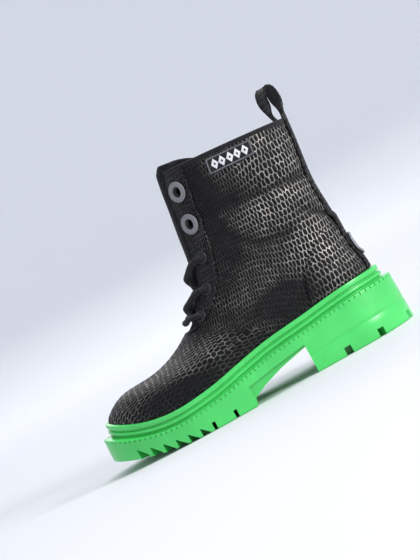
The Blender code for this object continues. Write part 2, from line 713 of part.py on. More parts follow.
def build_facing(name, side):
    """The eyelet facing: a strip along the throat's edge, rounded at its foot."""
    foot = THROAT_LEVEL - 0.10
    levels = np.concatenate([np.linspace(foot, THROAT_LEVEL + 0.6, 7), np.linspace(THROAT_LEVEL + 0.9, 8.93, 9)])
    across = np.linspace(0, 1, 6)
    grid = np.zeros((len(levels), len(across), 2))
    for r, level in enumerate(levels):
        edge = throat_edge(level) + 0.0006
        sweep = math.sqrt(max(0.0, 1 - (1 - min(1.0, (level - foot) / 0.7)) ** 2))
        width = FACING_WIDTH * (0.30 + 0.70 * sweep)
        for c, share in enumerate(across):
            grid[r, c] = column_at(edge + width * share, level, side), level
    if side < 0:
        grid = grid[:, ::-1]
    points = on_form(grid[..., 0], grid[..., 1], LAYER_GAP)
    facing = shell(name, points, SCALES, FACING_THICKNESS, outward=True)
    cut(facing, eyelet_cutter(name + "_holes", (side,)))


def counter_top(reach):
    """Height of the heel counter's top edge above the feather line, at a share of its reach forwards."""
    return COUNTER_HEIGHT * (1 - np.abs(reach) ** 2.6) ** (1 / 2.6)


def level_at_height(column, rise):
    """The level at which a column stands a height above its feather line."""
    levels = np.linspace(1, COLLAR_LEVEL, 81)
    z = form(np.full(81, column), levels)[:, 2]
    return float(np.interp(z[0] + rise, z, levels))


def back_column(distance):
    """The column at a distance round from the back centre at the heel, outer side above 0."""
    side = 1 if distance >= 0 else -1
    return column_at(girth(1.5, side) - abs(distance), 1.5, side)


def build_counter():
    """The heel counter, wrapped round the back from side to side."""
    reaches = np.sin(np.linspace(-1, 1, 27) * math.pi / 2)
    points = np.zeros((7, len(reaches), 2))
    for c, reach in enumerate(reaches):
        column = back_column(reach * COUNTER_REACH) if reach else BACK_COLUMN
        top = max(float(counter_top(reach)), 0.002)
        for r, share in enumerate((0, 0.07, 0.16, 0.3, 0.5, 0.75, 1.0)):
            points[r, c] = column, level_at_height(column, 0.0006 + (top - 0.0006) * share)
    points = points[:, ::-1]
    grid = on_form(points[..., 0], points[..., 1], COUNTER_GAP)
    shell("heel_counter", grid, SCALES, COUNTER_THICKNESS, outward=True)


def strip_offset(level, top_level):
    """The back strip's underside: over the heel counter, then down onto the upper above it."""
    over = 1 - smooth((level - top_level - 0.06) / 0.2)
    return LAYER_GAP + (COUNTER_GAP + COUNTER_THICKNESS + 1.6 * GAP - LAYER_GAP) * over


def build_back_strip():
    """The back strip with its pull loop: up the back, over in a loop, and down inside the collar."""
    across = np.linspace(-1, 1, 5)
    counter_level = level_at_height(BACK_COLUMN, COUNTER_HEIGHT)
    rows = []
    start = level_at_height(BACK_COLUMN, 0.0008)
    for level in np.concatenate([np.linspace(start, counter_level + 0.05, 8),
                                 np.linspace(counter_level + 0.27, COLLAR_LEVEL, 8)]):
        columns = [column_at(girth(level, 1 if a >= 0 else -1) - abs(a) * STRIP_WIDTH / 2, level,
                             1 if a >= 0 else -1) for a in across]
        rows.append(on_form(columns, level, strip_offset(level, counter_level)))
    collar = rows[-1]
    bow = collar[2, 0] - collar[:, 0]
    for forward, up in LOOP_LINE[1:-1]:
        fade = 1 - 0.75 * smooth(up * 2.2)
        row = np.empty_like(collar)
        row[:, 0] = collar[2, 0] + forward * LOOP_DEPTH - bow * fade
        row[:, 1] = collar[:, 1] * (1 + 0.02 * fade)
        row[:, 2] = collar[2, 2] + up * LOOP_HEIGHT
        rows.append(row)
    inside = -(WALL + LAYER_GAP + STRIP_THICKNESS)
    for level in (COLLAR_LEVEL, 8.8, 8.55, 8.3):
        columns = [column_at(girth(level, 1 if a >= 0 else -1) - abs(a) * STRIP_WIDTH / 2, level,
                             1 if a >= 0 else -1) for a in across]
        rows.append(on_form(columns, level, inside + (LAYER_GAP * 0.5 if level == COLLAR_LEVEL else 0)))
    grid = np.stack(rows)[:, ::-1]
    shell("back_strip_pull_loop", grid, SCALES, STRIP_THICKNESS, outward=True)


def tongue_offset(reach, level):
    """The tongue's outer face at a distance from its middle: tucked under the facings, risen between them."""
    inside = np.clip(level, 0, COLLAR_LEVEL)
    edge = np.vectorize(throat_edge)(inside)
    middle = smooth((edge - reach) / edge * 1.15) * smooth((level - THROAT_LEVEL) / 0.5)
    lean = 0.0028 * np.clip((level - COLLAR_LEVEL) * UPPER_HEIGHT / TONGUE_TOP, 0, 1)
    return -(WALL + BARREL_WALL + 2.6 * GAP) - lean \
        + middle * (0.0018 + TONGUE_BULGE * smooth((level - 5.6) / 3.2))


def build_tongue():
    """The tongue, from under the throat's foot to a little over the collar."""
    levels = np.concatenate([np.linspace(THROAT_LEVEL - 0.28, COLLAR_LEVEL, 13), [COLLAR_LEVEL + 1] * 2])
    shares = np.linspace(-1, 1, 15)
    points = np.zeros((3, len(levels), len(shares)))
    for r, level in enumerate(levels):
        inside = min(level, COLLAR_LEVEL)
        width = throat_edge(inside) + TONGUE_OVERLAP + TONGUE_SPREAD * smooth((inside - 6.2) / 2.8)
        width *= 1 - 0.35 * smooth((THROAT_LEVEL + 0.3 - inside) / 0.6)
        for c, share in enumerate(shares):
            top = TONGUE_TOP / UPPER_HEIGHT * (1 - 0.9 * abs(share) ** 3) * (r - len(levels) + 3) / 2
            reach = abs(share) * width
            column = column_at(reach, inside, 1 if share >= 0 else -1)
            points[:, r, c] = column, inside + (top if level > inside else 0), reach
    grid = on_form(points[0], points[1], tongue_offset(points[2], points[1]))
    shell("tongue", grid, LINING, TONGUE_THICKNESS, outward=False)


def build_eyelet(name, column, level, large):
    hole = TOP_HOLE_RADIUS if large else LOW_HOLE_RADIUS
    rim = TOP_RING_RADIUS if large else LOW_RING_RADIUS
    seat = LAYER_GAP + FACING_THICKNESS + GAP
    foot = -(WALL + GAP)
    top = seat + EYELET_THICKNESS
    profile = [(hole, top), (rim - 0.0006, top), (rim, seat + 0.0003), (rim - 0.0002, seat),
               (hole + BARREL_WALL, seat), (hole + BARREL_WALL, foot), (hole, foot)]
    turned(name, profile, GREY_METAL if large else BLACK_METAL, form_frame(column, level, 0.0))


def strand(name, start, end):
    """One crossing strand: from over an eyelet, across the tongue, into the throat a step lower."""
    (side, level_high), (_, level_low) = start, end
    over = LAYER_GAP + FACING_THICKNESS + EYELET_THICKNESS + LACE_DIAMETER / 2 + 2 * GAP
    crest = LACE_DIAMETER / 2 + 0.0009
    edge_high, edge_low = throat_edge(level_high), throat_edge(level_low)
    stops = (
        (side, edge_high + EYELET_INSET, level_high, over),
        (side, edge_high, level_high * 0.86 + level_low * 0.14, over * 0.97),
        (side, edge_high * 0.45, level_high * 0.66 + level_low * 0.34, crest * 1.12),
        (side, 0.0, (level_high + level_low) / 2, crest),
        (-side, edge_low * 0.45, level_high * 0.34 + level_low * 0.66, crest * 0.9),
        (-side, edge_low - LACE_DIAMETER * 0.75, level_high * 0.16 + level_low * 0.84, crest * 0.45),
    )
    points = [on_form(column_at(d, lv, s) if d else 0.0, lv, off).reshape(3) for s, d, lv, off in stops]
    return tube(name, points, LACE_DIAMETER)


def build_lace():
    """The lace's lowest bar and the two crossings above it."""
    levels = [level for _, level, _ in eyelet_places(1)]
    e3, e4, e5 = levels[2:5]
    over = LAYER_GAP + FACING_THICKNESS + EYELET_THICKNESS + LACE_DIAMETER / 2 + 2 * GAP
    crest = LACE_DIAMETER / 2 + 0.0009
    edge = throat_edge(e5)
    stops = [(side, share, off) for side, share, off in (
        (1, 1, over), (1, 0.58, over), (1, 0.28, crest * 1.05), (1, 0.0, crest),
        (-1, 0.28, crest * 1.05), (-1, 0.58, over), (-1, 1, over))]
    points = [on_form(column_at((edge + EYELET_INSET) * share, e5, side) if share else 0.0, e5, off).reshape(3)
              for side, share, off in stops]
    mesh_from_curve(tube("lace_bar", points, LACE_DIAMETER), CORD)
    for name, high, low in (("lace_cross_low", e4, e5), ("lace_cross_high", e3, e4)):
        first = mesh_from_curve(strand(name, (1, high), (1, low)), CORD)
        second = mesh_from_curve(strand(name + "_other", (-1, high), (-1, low)), CORD)
        collection("boot").objects.unlink(second)
        collection("cutters").objects.link(second)
        second.hide_render = True
        second.display_type = "WIRE"
        modifier = first.modifiers.new("join", "BOOLEAN")
        modifier.operation = "UNION"
        modifier.object = second


def build_label():
    """The plain woven label near the outer side's collar."""
    levels = np.linspace(0, 1, 3)
    across = np.linspace(-0.5, 0.5, 7)
    side_at = LABEL_AT * girth(COLLAR_LEVEL, 1)
    rise = LABEL_HEIGHT / UPPER_HEIGHT / 0.205
    grid = np.zeros((3, 7, 2))
    for r, share in enumerate(levels):
        level = COLLAR_LEVEL - 0.16 - rise * (1 - share)
        for c, a in enumerate(across):
            grid[r, c] = column_at(side_at + a * LABEL_LENGTH, level, 1), level
    points = on_form(grid[..., 0], grid[..., 1], LAYER_GAP)
    shell("side_label", points, WEB, LABEL_THICKNESS, outward=True)


def build_badge():
    """The round rubber badge low on the back strip."""
    level = level_at_height(BACK_COLUMN, BADGE_HEIGHT)
    seat = COUNTER_GAP + COUNTER_THICKNESS + 1.6 * GAP + STRIP_THICKNESS + LAYER_GAP
    frame = form_frame(BACK_COLUMN, level, seat)
    rings, count = (0.0, 0.5, 1.0), 16
    points, faces = [], []
    strip_level = level
    for side_offset in (seat, seat + BADGE_THICKNESS):
        for ring in rings[1:]:
            for n in range(count):
                angle = 2 * math.pi * n / count
                column = back_column(BADGE_RADIUS * ring * math.cos(angle))
                rise = BADGE_HEIGHT + BADGE_RADIUS * ring * math.sin(angle)
                points.append(on_form(column, level_at_height(BACK_COLUMN, rise), side_offset).reshape(3))
        points.append(on_form(BACK_COLUMN, strip_level, side_offset).reshape(3))
    per = 2 * count + 1
    for n in range(count):
        m = (n + 1) % count
        faces += [(2 * count, n, m), (n, count + n, count + m, m)]
        faces += [(per + 2 * count, per + m, per + n), (per + n, per + m, per + count + m, per + count + n)]
        faces += [(count + n, per + count + n, per + count + m, count + m)]
    badge = add_mesh("heel_badge", points, faces, WEB)
    shape = bmesh.new()
    shape.from_mesh(badge.data)
    bmesh.ops.recalc_face_normals(shape, faces=shape.faces)
    shape.to_mesh(badge.data)
    shape.free()
    return frame


def zip_strip(name, reaches, offset, thickness, low, high, finish):
    """A strip that follows the zip on the inner side, with its columns at distances from the zip's middle."""
    levels = [low] + [level for level in MESH_LEVELS if low + 0.1 < level < high - 0.1] + [high]
    grid = np.zeros((len(levels), len(reaches), 2))
    for r, level in enumerate(levels):
        edges = [column_marks(ring, half)[2] for ring, half in zip(RINGS, HALVES[-1])]
        centre = np.interp(level, np.arange(1, COLLAR_LEVEL + 1), edges) + ZIP_SLIT / 2
        for c, reach in enumerate(reaches):
            grid[r, c] = column_at(float(centre) + reach, level, -1), level
    points = on_form(grid[..., 0], grid[..., 1], offset)
    shell(name, points[:, ::-1], finish, thickness, outward=False)


def box_piece(name, low, high, finish, place, bevel=0.0):
    """A box between two corners in a frame, with rounded edges where asked."""
    shape = bmesh.new()
    size = Vector(high) - Vector(low)
    middle = (Vector(high) + Vector(low)) / 2
    bmesh.ops.create_cube(shape, size=1.0, matrix=place @ Matrix.Translation(middle) @ Matrix.Diagonal((*size, 1)))
    if bevel:
        bmesh.ops.bevel(shape, geom=shape.edges[:], offset=bevel, segments=1, affect="EDGES")
    mesh = bpy.data.meshes.new(name)
    shape.to_mesh(mesh)
    shape.free()
    obj = bpy.data.objects.new(name, mesh)
    collection("boot").objects.link(obj)
    mesh.materials.append(material(finish))
    return obj


def union(obj, others):
    for other in others:
        collection("boot").objects.unlink(other)
        collection("cutters").objects.link(other)
        other.hide_render = True
        other.display_type = "WIRE"
        modifier = obj.modifiers.new("join_" + other.name, "BOOLEAN")
        modifier.operation = "UNION"
        modifier.object = other


def slider_frame():
    """Frame at the zip slider's seat, just below the collar."""
    middle = -sum(ZIP_COLUMNS) / 2
    return form_frame(middle, level_at_height(middle, UPPER_HEIGHT - SLIDER_DROP), 0.0)


def hanging(place):
    """The same frame turned about its own X until its Y points as nearly up as it can."""
    across = place.to_3x3().col[0]
    up = Vector((0, 0, 1)) - across * across.z
    up.normalize()
    return Matrix.Translation(place.translation) @ Matrix((across, up, across.cross(up))).transposed().to_4x4()


def build_zip():
    """The zip: tape behind the slit, chain in it, slider near the top and the pull that hangs from it."""
    tape = -(WALL + LAYER_GAP + GAP)
    edge, slit = ZIP_TAPE_WIDTH / 2, ZIP_SLIT / 2
    zip_strip("zip_tape", (-edge, -slit, 0.0, slit, edge), tape, ZIP_TAPE_THICKNESS, 1.25, 8.93, WEB)
    chain = tape + GAP + ZIP_CHAIN_THICKNESS
    edge = ZIP_CHAIN_WIDTH / 2
    zip_strip("zip_chain", (-edge, 0.0, edge), chain, ZIP_CHAIN_THICKNESS, ZIP_BOTTOM_LEVEL + 0.07, 8.93,
              BLACK_METAL)
    place = slider_frame()
    seat = chain + 2 * GAP
    top = seat + SLIDER_THICKNESS
    half, long = SLIDER_WIDTH / 2, SLIDER_LENGTH / 2
    body = box_piece("zip_slider", (-half, -long, seat), (half, long, top), BLACK_METAL, place, bevel=0.0007)
    ear, bridge = 0.0012, top + 0.0023
    pieces = []
    for name, x in (("ear_front", -0.0030), ("ear_back", 0.0030)):
        pieces.append(box_piece(name, (x - ear / 2, 0.0005, top - 0.0008), (x + ear / 2, 0.0040, bridge + 0.0012),
                                BLACK_METAL, place))
    shape = bmesh.new()
    pin = place @ Matrix.Translation((0, 0.0022, bridge)) @ Matrix.Rotation(math.pi / 2, 4, "Y")
    bmesh.ops.create_cone(shape, cap_ends=True, segments=10, radius1=BRIDGE_RADIUS, radius2=BRIDGE_RADIUS,
                          depth=0.0064, matrix=pin)
    mesh = bpy.data.meshes.new("bridge_pin")
    shape.to_mesh(mesh)
    shape.free()
    pin_object = bpy.data.objects.new("bridge_pin", mesh)
    collection("boot").objects.link(pin_object)
    union(body, pieces + [pin_object])
    build_pull(hanging(place @ Matrix.Translation((0, 0.0022, bridge))))


def build_pull(axis):
    """The pull tab, hung on the slider's bridge: an eye, a neck and a flat tab with a long window."""
    eye = BRIDGE_RADIUS + PULL_CLEARANCE
    neck = 0.0036
    outline = [(neck / 2, 0.0017), (-neck / 2, 0.0017), (-neck / 2, -0.0036), (-PULL_WIDTH / 2, -0.0058),
               (-PULL_WIDTH / 2, -PULL_LENGTH + 0.0015), (-PULL_WIDTH / 2 + 0.0015, -PULL_LENGTH),
               (PULL_WIDTH / 2 - 0.0015, -PULL_LENGTH), (PULL_WIDTH / 2, -PULL_LENGTH + 0.0015),
               (PULL_WIDTH / 2, -0.0058), (neck / 2, -0.0036)]
    flat = Matrix(((1, 0, 0, 0), (0, 0, 1, 0), (0, 1, 0, 0), (0, 0, 0, 1)))
    tab = prism("zip_pull", outline, -PULL_THICKNESS / 2, PULL_THICKNESS / 2, flat)
    collection("cutters").objects.unlink(tab)
    collection("boot").objects.link(tab)
    tab.hide_render = False
    tab.display_type = "TEXTURED"
    tab.data.materials.append(material(BLACK_METAL))
    barrel = bpy.data.meshes.new("pull_eye")
    shape = bmesh.new()
    bmesh.ops.create_cone(shape, cap_ends=True, segments=14, radius1=eye + 0.0008, radius2=eye + 0.0008,
                          depth=neck, matrix=Matrix.Rotation(math.pi / 2, 4, "Y"))
    shape.to_mesh(barrel)
    shape.free()
    barrel_object = bpy.data.objects.new("pull_eye", barrel)
    collection("boot").objects.link(barrel_object)
    union(tab, [barrel_object])
    hole = bpy.data.meshes.new("pull_eye_hole")
    shape = bmesh.new()
    bmesh.ops.create_cone(shape, cap_ends=True, segments=12, radius1=eye, radius2=eye, depth=0.02,
                          matrix=Matrix.Rotation(math.pi / 2, 4, "Y"))
    shape.to_mesh(hole)
    shape.free()
    hole_object = bpy.data.objects.new("pull_eye_hole", hole)
    collection("boot").objects.link(hole_object)
    union(tab, [hole_object])
    tab.modifiers[-1].operation = "DIFFERENCE"
    window = prism("pull_window", [(-0.0016, -0.0160), (0.0016, -0.0160), (0.0016, -0.0075), (-0.0016, -0.0075)],
                   -0.005, 0.005, flat)
    cut(tab, window)
    for obj in (tab, barrel_object, hole_object, window):
        obj.matrix_world = axis


def main():
    for obj in list(bpy.data.objects):
        bpy.data.objects.remove(obj)
    build_sole()
    build_insole()
    build_upper()
    build_facing("facing_outer", 1)
    build_facing("facing_inner", -1)
    build_counter()
    build_back_strip()
    build_tongue()
    for side, name in ((1, "outer"), (-1, "inner")):
        for n, (column, level, large) in enumerate(eyelet_places(side), 1):
            build_eyelet(f"eyelet_{name}_{n}", column, level, large)
    build_lace()
    build_label()
    build_badge()
    build_zip()


main()
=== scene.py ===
import math

import bmesh
import bpy
import numpy as np
from mathutils import Matrix, Vector


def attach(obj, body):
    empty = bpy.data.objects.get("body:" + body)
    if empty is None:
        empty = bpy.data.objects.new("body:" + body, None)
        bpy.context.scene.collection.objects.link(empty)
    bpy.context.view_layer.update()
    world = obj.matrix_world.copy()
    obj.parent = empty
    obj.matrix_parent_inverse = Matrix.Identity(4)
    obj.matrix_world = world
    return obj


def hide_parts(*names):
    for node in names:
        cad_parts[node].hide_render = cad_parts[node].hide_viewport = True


# A child's lace-up boot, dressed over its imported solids. Metres, X to the toe, Y to the outer side, Z up.
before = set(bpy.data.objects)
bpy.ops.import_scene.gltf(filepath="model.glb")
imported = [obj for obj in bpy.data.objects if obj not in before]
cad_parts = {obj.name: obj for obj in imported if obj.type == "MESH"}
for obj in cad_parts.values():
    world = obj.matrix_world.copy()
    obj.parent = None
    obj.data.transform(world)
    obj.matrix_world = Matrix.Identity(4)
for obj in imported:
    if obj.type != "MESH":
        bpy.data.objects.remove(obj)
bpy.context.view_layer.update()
bodyName = "boot"
print("frame loaded")

# The last's own sizes, the same as the solids have.
last = dict(length=0.235, heelLength=0.077, heelStack=0.0440, ballStack=0.0255, toeRise=0.0125,
            toeSpring=0.0165, springFrom=0.150, ballWidth=0.076, upperHeight=0.128, wall=0.0022,
            throatHalf=0.013, toeSwing=0.005, archSwing=0.002, zipSlit=0.0096, heelBend=0.048)
heelCentre = last["heelLength"] / 2
gap, layerGap, counterGap = 0.0003, 0.00045, 0.0006
cupDepth = 0.0075

ringFields = ("follow backRise midRise noseRise backAt noseAt backHalf midHalf noseHalf"
              " backCap noseCap power toeIn throat zipAt").split()
ringRows = (
    (1.0, 0.000, 0.000, 0.000, 0.0505, 0.956, 0.368, 0.385, 0.500, 0.14, 0.30, 2.3, 1.0, 1.50, 0.320),
    (1.0, 0.078, 0.090, 0.066, 0.0540, 0.934, 0.385, 0.400, 0.510, 0.15, 0.31, 2.3, 1.0, 1.45, 0.316),
    (0.9, 0.122, 0.117, 0.146, 0.0600, 0.877, 0.388, 0.395, 0.500, 0.17, 0.36, 2.1, 0.8, 1.30, 0.312),
    (0.7, 0.169, 0.163, 0.166, 0.0635, 0.766, 0.388, 0.390, 0.430, 0.20, 0.45, 2.0, 0.5, 1.15, 0.309),
    (0.4, 0.216, 0.218, 0.223, 0.0670, 0.626, 0.385, 0.390, 0.400, 0.25, 0.47, 2.0, 0.2, 1.00, 0.305),
    (0.0, 0.383, 0.367, 0.367, 0.0680, 0.536, 0.388, 0.390, 0.385, 0.33, 0.45, 2.0, 0.1, 1.00, 0.298),
    (0.0, 0.562, 0.578, 0.586, 0.0720, 0.500, 0.400, 0.405, 0.395, 0.38, 0.42, 2.0, 0.0, 1.03, 0.290),
    (0.0, 0.766, 0.785, 0.805, 0.0610, 0.481, 0.415, 0.420, 0.410, 0.40, 0.41, 2.0, 0.0, 1.07, 0.282),
    (0.0, 0.940, 0.972, 1.000, 0.0510, 0.462, 0.420, 0.430, 0.420, 0.42, 0.41, 2.0, 0.0, 1.15, 0.275),
)
rings = [dict(zip(ringFields, row)) for row in ringRows]
collarLevel, throatLevel, zipBottom = len(rings), 5, 1.8
markColumns = (0, 3, 14, 16, 19, 24)
ringLevels = np.arange(1, collarLevel + 1)
soleLine = ((0.00, 1.0), (0.14, 0.98), (0.30, 0.76), (0.42, 0.60), (0.53, 0.34), (0.61, 0.13), (0.685, 0.0),
            (1.0, 0.0))


def smooth(value):
    share = np.clip(value, 0.0, 1.0)
    return share * share * (3 - 2 * share)


def runAlong(line):
    # the length run up to each point of a line
    return np.concatenate([[0.0], np.cumsum(np.linalg.norm(np.diff(line, axis=0), axis=1))])


def naturalSpline(points, knots, at):
    # a cubic spline through each row of points, read at one value a row
    steps = np.diff(knots, axis=1)
    rows, count = knots.shape
    slopes = np.diff(points, axis=1) / steps[..., None]
    matrix = np.zeros((rows, count, count))
    matrix[:, 0, 0] = matrix[:, -1, -1] = 1.0
    side = np.zeros_like(points)
    for k in range(1, count - 1):
        matrix[:, k, k - 1] = steps[:, k - 1]
        matrix[:, k, k] = 2 * (steps[:, k - 1] + steps[:, k])
        matrix[:, k, k + 1] = steps[:, k]
        side[:, k] = 6 * (slopes[:, k] - slopes[:, k - 1])
    bends = np.linalg.solve(matrix, side)
    row = np.arange(rows)
    part = np.clip((knots[:, 1:] < at[:, None]).sum(axis=1), 0, count - 2)
    step = steps[row, part][:, None]
    low = (at - knots[row, part])[:, None]
    high = step - low
    bendLow, bendHigh = bends[row, part], bends[row, part + 1]
    fromLow, fromHigh = points[row, part] / step, points[row, part + 1] / step
    return ((bendLow * high ** 3 + bendHigh * low ** 3) / (6 * step)
            + (fromLow - bendLow * step / 6) * high + (fromHigh - bendHigh * step / 6) * low)


def splineThrough(stops, knots, count):
    # one line of evenly spread points through a few stops
    values = (np.repeat(np.array(part, float)[None], count, 0) for part in (stops, knots))
    return naturalSpline(*values, np.linspace(0, knots[-1], count))


def tableValue(table, share):
    shares, values = np.array(table, float).T
    share = np.atleast_1d(np.asarray(share, float))
    part = np.clip(np.searchsorted(shares, share) - 1, 0, len(table) - 2)
    slopes = np.gradient(values, shares)
    slopes[0] = slopes[-1] = 0.0
    step = shares[part + 1] - shares[part]
    t = np.clip((share - shares[part]) / step, 0.0, 1.0)
    return ((2 * t ** 3 - 3 * t ** 2 + 1) * values[part] + (t ** 3 - 2 * t ** 2 + t) * step * slopes[part]
            + (3 * t ** 2 - 2 * t ** 3) * values[part + 1] + (t ** 3 - t ** 2) * step * slopes[part + 1])


def featherHeight(station):
    # the line where upper and sole meet
    share = np.asarray(station, float) / last["length"]
    toe = np.clip((share - 0.70) / 0.26, 0.0, 1.2) ** 2.6
    fall = tableValue(soleLine, share).reshape(share.shape)
    return last["ballStack"] + (last["heelStack"] - last["ballStack"]) * fall + last["toeRise"] * toe


def treadHeight(station):
    spring = (np.asarray(station, float) - last["springFrom"]) / (last["length"] - last["springFrom"])
    return last["toeSpring"] * np.clip(spring, 0.0, 1.2) ** 2.8


def halfWidth(ring, t):
    backCap, noseCap, power = ring["backCap"], ring["noseCap"], ring["power"]
    mid = (backCap + 1 - noseCap) / 2
    back = np.clip((backCap - t) / backCap, 0, 1)
    nose = np.clip((t - 1 + noseCap) / noseCap, 0, 1)
    body = ring["backHalf"] + (ring["midHalf"] - ring["backHalf"]) * smooth((t - backCap) / (mid - backCap))
    body = body + (ring["noseHalf"] - ring["midHalf"]) * smooth((t - mid) / (1 - noseCap - mid))
    return last["ballWidth"] * body * np.sqrt(1 - back ** 2) * (1 - nose ** power) ** (1 / power)


def ringSide(ring, side):
    # one half of a section, nose round to back, with its running length
    t = (1 + np.cos(np.linspace(0, math.pi, 121))) / 2
    station = last["length"] * (ring["backAt"] + (ring["noseAt"] - ring["backAt"]) * t)
    middle = last["archSwing"] * ring["follow"] * smooth(1 - np.abs(t - 0.42) / 0.3) \
        - last["toeSwing"] * ring["toeIn"] * smooth((t - 0.6) / 0.4)
    rise = ring["backRise"] * (2 * t - 1) * (t - 1) + ring["midRise"] * 4 * t * (1 - t)
    rise = rise + ring["noseRise"] * t * (2 * t - 1)
    z = ring["follow"] * featherHeight(station) + (1 - ring["follow"]) * last["heelStack"]
    z = z + last["upperHeight"] * rise
    points = np.stack([station - heelCentre, middle + side * halfWidth(ring, t), z], axis=1)
    return points, runAlong(points)


halves = {side: [ringSide(ring, side) for ring in rings] for side in (1, -1)}


def ringMarks(ring, half):
    points, run = half
    length = run[-1]
    zipAt = float(np.interp(heelCentre - last["length"] * ring["zipAt"], -points[:, 0], run))
    bend = length - min(last["heelBend"], (length - zipAt) * 0.55)
    slit = last["zipSlit"] / 2
    return (0.0, ring["throat"] * last["throatHalf"], zipAt - slit, zipAt + slit, bend, length)


sideMarks = {side: np.array([ringMarks(*pair) for pair in zip(rings, halves[side])]) for side in (1, -1)}


def keyPoints(column, side):
    rows = []
    for marks, (points, run) in zip(sideMarks[side], halves[side]):
        distance = np.interp(column, markColumns, marks)
        rows.append(np.stack([np.interp(distance, run, points[:, axis]) for axis in range(3)], axis=1))
    return np.stack([rows[0] - np.array([0.0, 0.0, cupDepth - gap])] + rows, axis=1)


def form(column, level):
    # points on the upper's outer form; a column above 0 is on the outer side
    column, level = (np.array(v, float).ravel() for v in np.broadcast_arrays(column, level))
    column = (column + 24) % 48 - 24
    keys = np.empty((len(column), collarLevel + 1, 3))
    for side in (1, -1):
        chosen = (column >= 0) if side > 0 else (column < 0)
        if chosen.any():
            keys[chosen] = keyPoints(np.abs(column[chosen]), side)
    steps = np.sqrt(np.linalg.norm(np.diff(keys, axis=1), axis=2))
    knots = np.concatenate([np.zeros((len(column), 1)), np.cumsum(steps, axis=1)], axis=1)
    inside = np.clip(level, 0, collarLevel)
    part = np.clip(inside.astype(int), 0, collarLevel - 1)
    row = np.arange(len(column))
    return naturalSpline(keys, knots, knots[row, part] + steps[row, part] * (inside - part))


def formNormal(column, level):
    column, level = (np.array(v, float).ravel() for v in np.broadcast_arrays(column, level))
    level = np.clip(level, 0.02, collarLevel - 0.02)
    along = form(column + 0.05, level) - form(column - 0.05, level)
    normal = np.cross(along, form(column, level + 0.02) - form(column, level - 0.02))
    return normal / np.linalg.norm(normal, axis=1)[:, None]


# Folds listed as they lie on the shaft: side, depth, softness, then (x, z) along each fold.
folds = [
    (1, 0.00190, 0.0036, ((0.060, 0.1325), (0.038, 0.1305), (0.012, 0.1280), (-0.016, 0.1250))),
    (1, 0.00160, 0.0028, ((-0.006, 0.1045), (-0.013, 0.0985), (-0.020, 0.0930))),
    (1, 0.00120, 0.0042, ((0.046, 0.1095), (0.032, 0.0990), (0.010, 0.0945))),
    (1, 0.00100, 0.0052, ((0.055, 0.1500), (0.049, 0.1150), (0.046, 0.0850))),
    (1, -0.00060, 0.0070, ((0.030, 0.1150), (0.008, 0.1130), (-0.010, 0.1130))),
    (1, -0.00055, 0.0060, ((0.062, 0.0740), (0.030, 0.0700))),
    (-1, 0.00150, 0.0034, ((0.002, 0.1180), (-0.008, 0.1210), (-0.017, 0.1225))),
    (-1, 0.00130, 0.0030, ((-0.002, 0.0955), (-0.010, 0.0985), (-0.017, 0.1000))),
    (-1, 0.00075, 0.0040, ((0.060, 0.1300), (0.045, 0.1260))),
    (-1, 0.00070, 0.0046, ((0.050, 0.0950), (0.070, 0.0820))),
    (-1, -0.00060, 0.0060, ((0.008, 0.1070), (-0.012, 0.1100))),
]
collarPad = dict(low=0.1345, top=0.0040, swell=0.0010)


def fromLine(x, z, line):
    # the distance from each point to a fold's line, seen from the side
    nearest = np.full(len(x), 1e9)
    for (ax, az), (bx, bz) in zip(line[:-1], line[1:]):
        span = (bx - ax) ** 2 + (bz - az) ** 2
        t = np.clip(((x - ax) * (bx - ax) + (z - az) * (bz - az)) / span, 0, 1)
        nearest = np.minimum(nearest, np.hypot(x - ax - t * (bx - ax), z - az - t * (bz - az)))
    return nearest


def worn(points):
    # how far the folds and the collar's padding move the form outwards at each point
    shift = np.zeros(len(points))
    x, y, z = points.T
    for side, depth, soft, line in folds:
        shift -= depth * np.exp(-(fromLine(x, z, line) / soft) ** 2) * smooth(side * y / 0.016)
    top = 0.1715 - 0.04 * np.clip(0.045 - x, 0, 0.1)
    rise = (z - collarPad["low"]) / (top - collarPad["top"] - collarPad["low"])
    shift += collarPad["swell"] * np.sin(math.pi * np.clip(rise, 0, 1)) ** 0.8 * smooth(np.abs(y) / 0.020)
    return shift


def onForm(column, level, offset=0.0):
    # points at a distance outside the worn form; levels above the collar run straight up from it
    column, level, offset = np.broadcast_arrays(*(np.asarray(v, float) for v in (column, level, offset)))
    base = form(column, level)
    points = base + formNormal(column, level) * (offset.ravel() + worn(base))[:, None]
    over = np.clip(level.ravel() - collarLevel, 0, None)
    if over.any():
        rise = form(column, collarLevel) - form(column, collarLevel - 0.3)
        points += rise / np.linalg.norm(rise, axis=1)[:, None] * (over * last["upperHeight"])[:, None]
    return points.reshape(column.shape + (3,))


def markAt(level, side, mark):
    return np.interp(level, ringLevels, sideMarks[side][:, mark])


def columnAt(distance, level, side):
    # the column at a distance round from the front centre, on one side
    distance, level = np.broadcast_arrays(np.asarray(distance, float), np.asarray(level, float))
    column = np.zeros(distance.shape)
    for m in range(5):
        low, high = markAt(level, side, m), markAt(level, side, m + 1)
        column += np.clip((distance - low) / (high - low), 0, 1) * (markColumns[m + 1] - markColumns[m])
    return side * column


def signedColumn(distance, level):
    distance, level = np.broadcast_arrays(np.asarray(distance, float), np.asarray(level, float))
    outer, inner = (columnAt(np.abs(distance), level, side) for side in (1, -1))
    return np.where(distance >= 0, outer, inner)


def backColumn(distance, level):
    # the column at a distance round from the back centre, the outer side above 0
    distance, level = np.broadcast_arrays(np.asarray(distance, float), np.asarray(level, float))
    outer = columnAt(markAt(level, 1, 5) - np.abs(distance), level, 1)
    inner = columnAt(markAt(level, -1, 5) - np.abs(distance), level, -1)
    return np.where(distance >= 0, outer, inner)


def throatEdge(level):
    return np.interp(level, ringLevels, [ring["throat"] for ring in rings]) * last["throatHalf"]


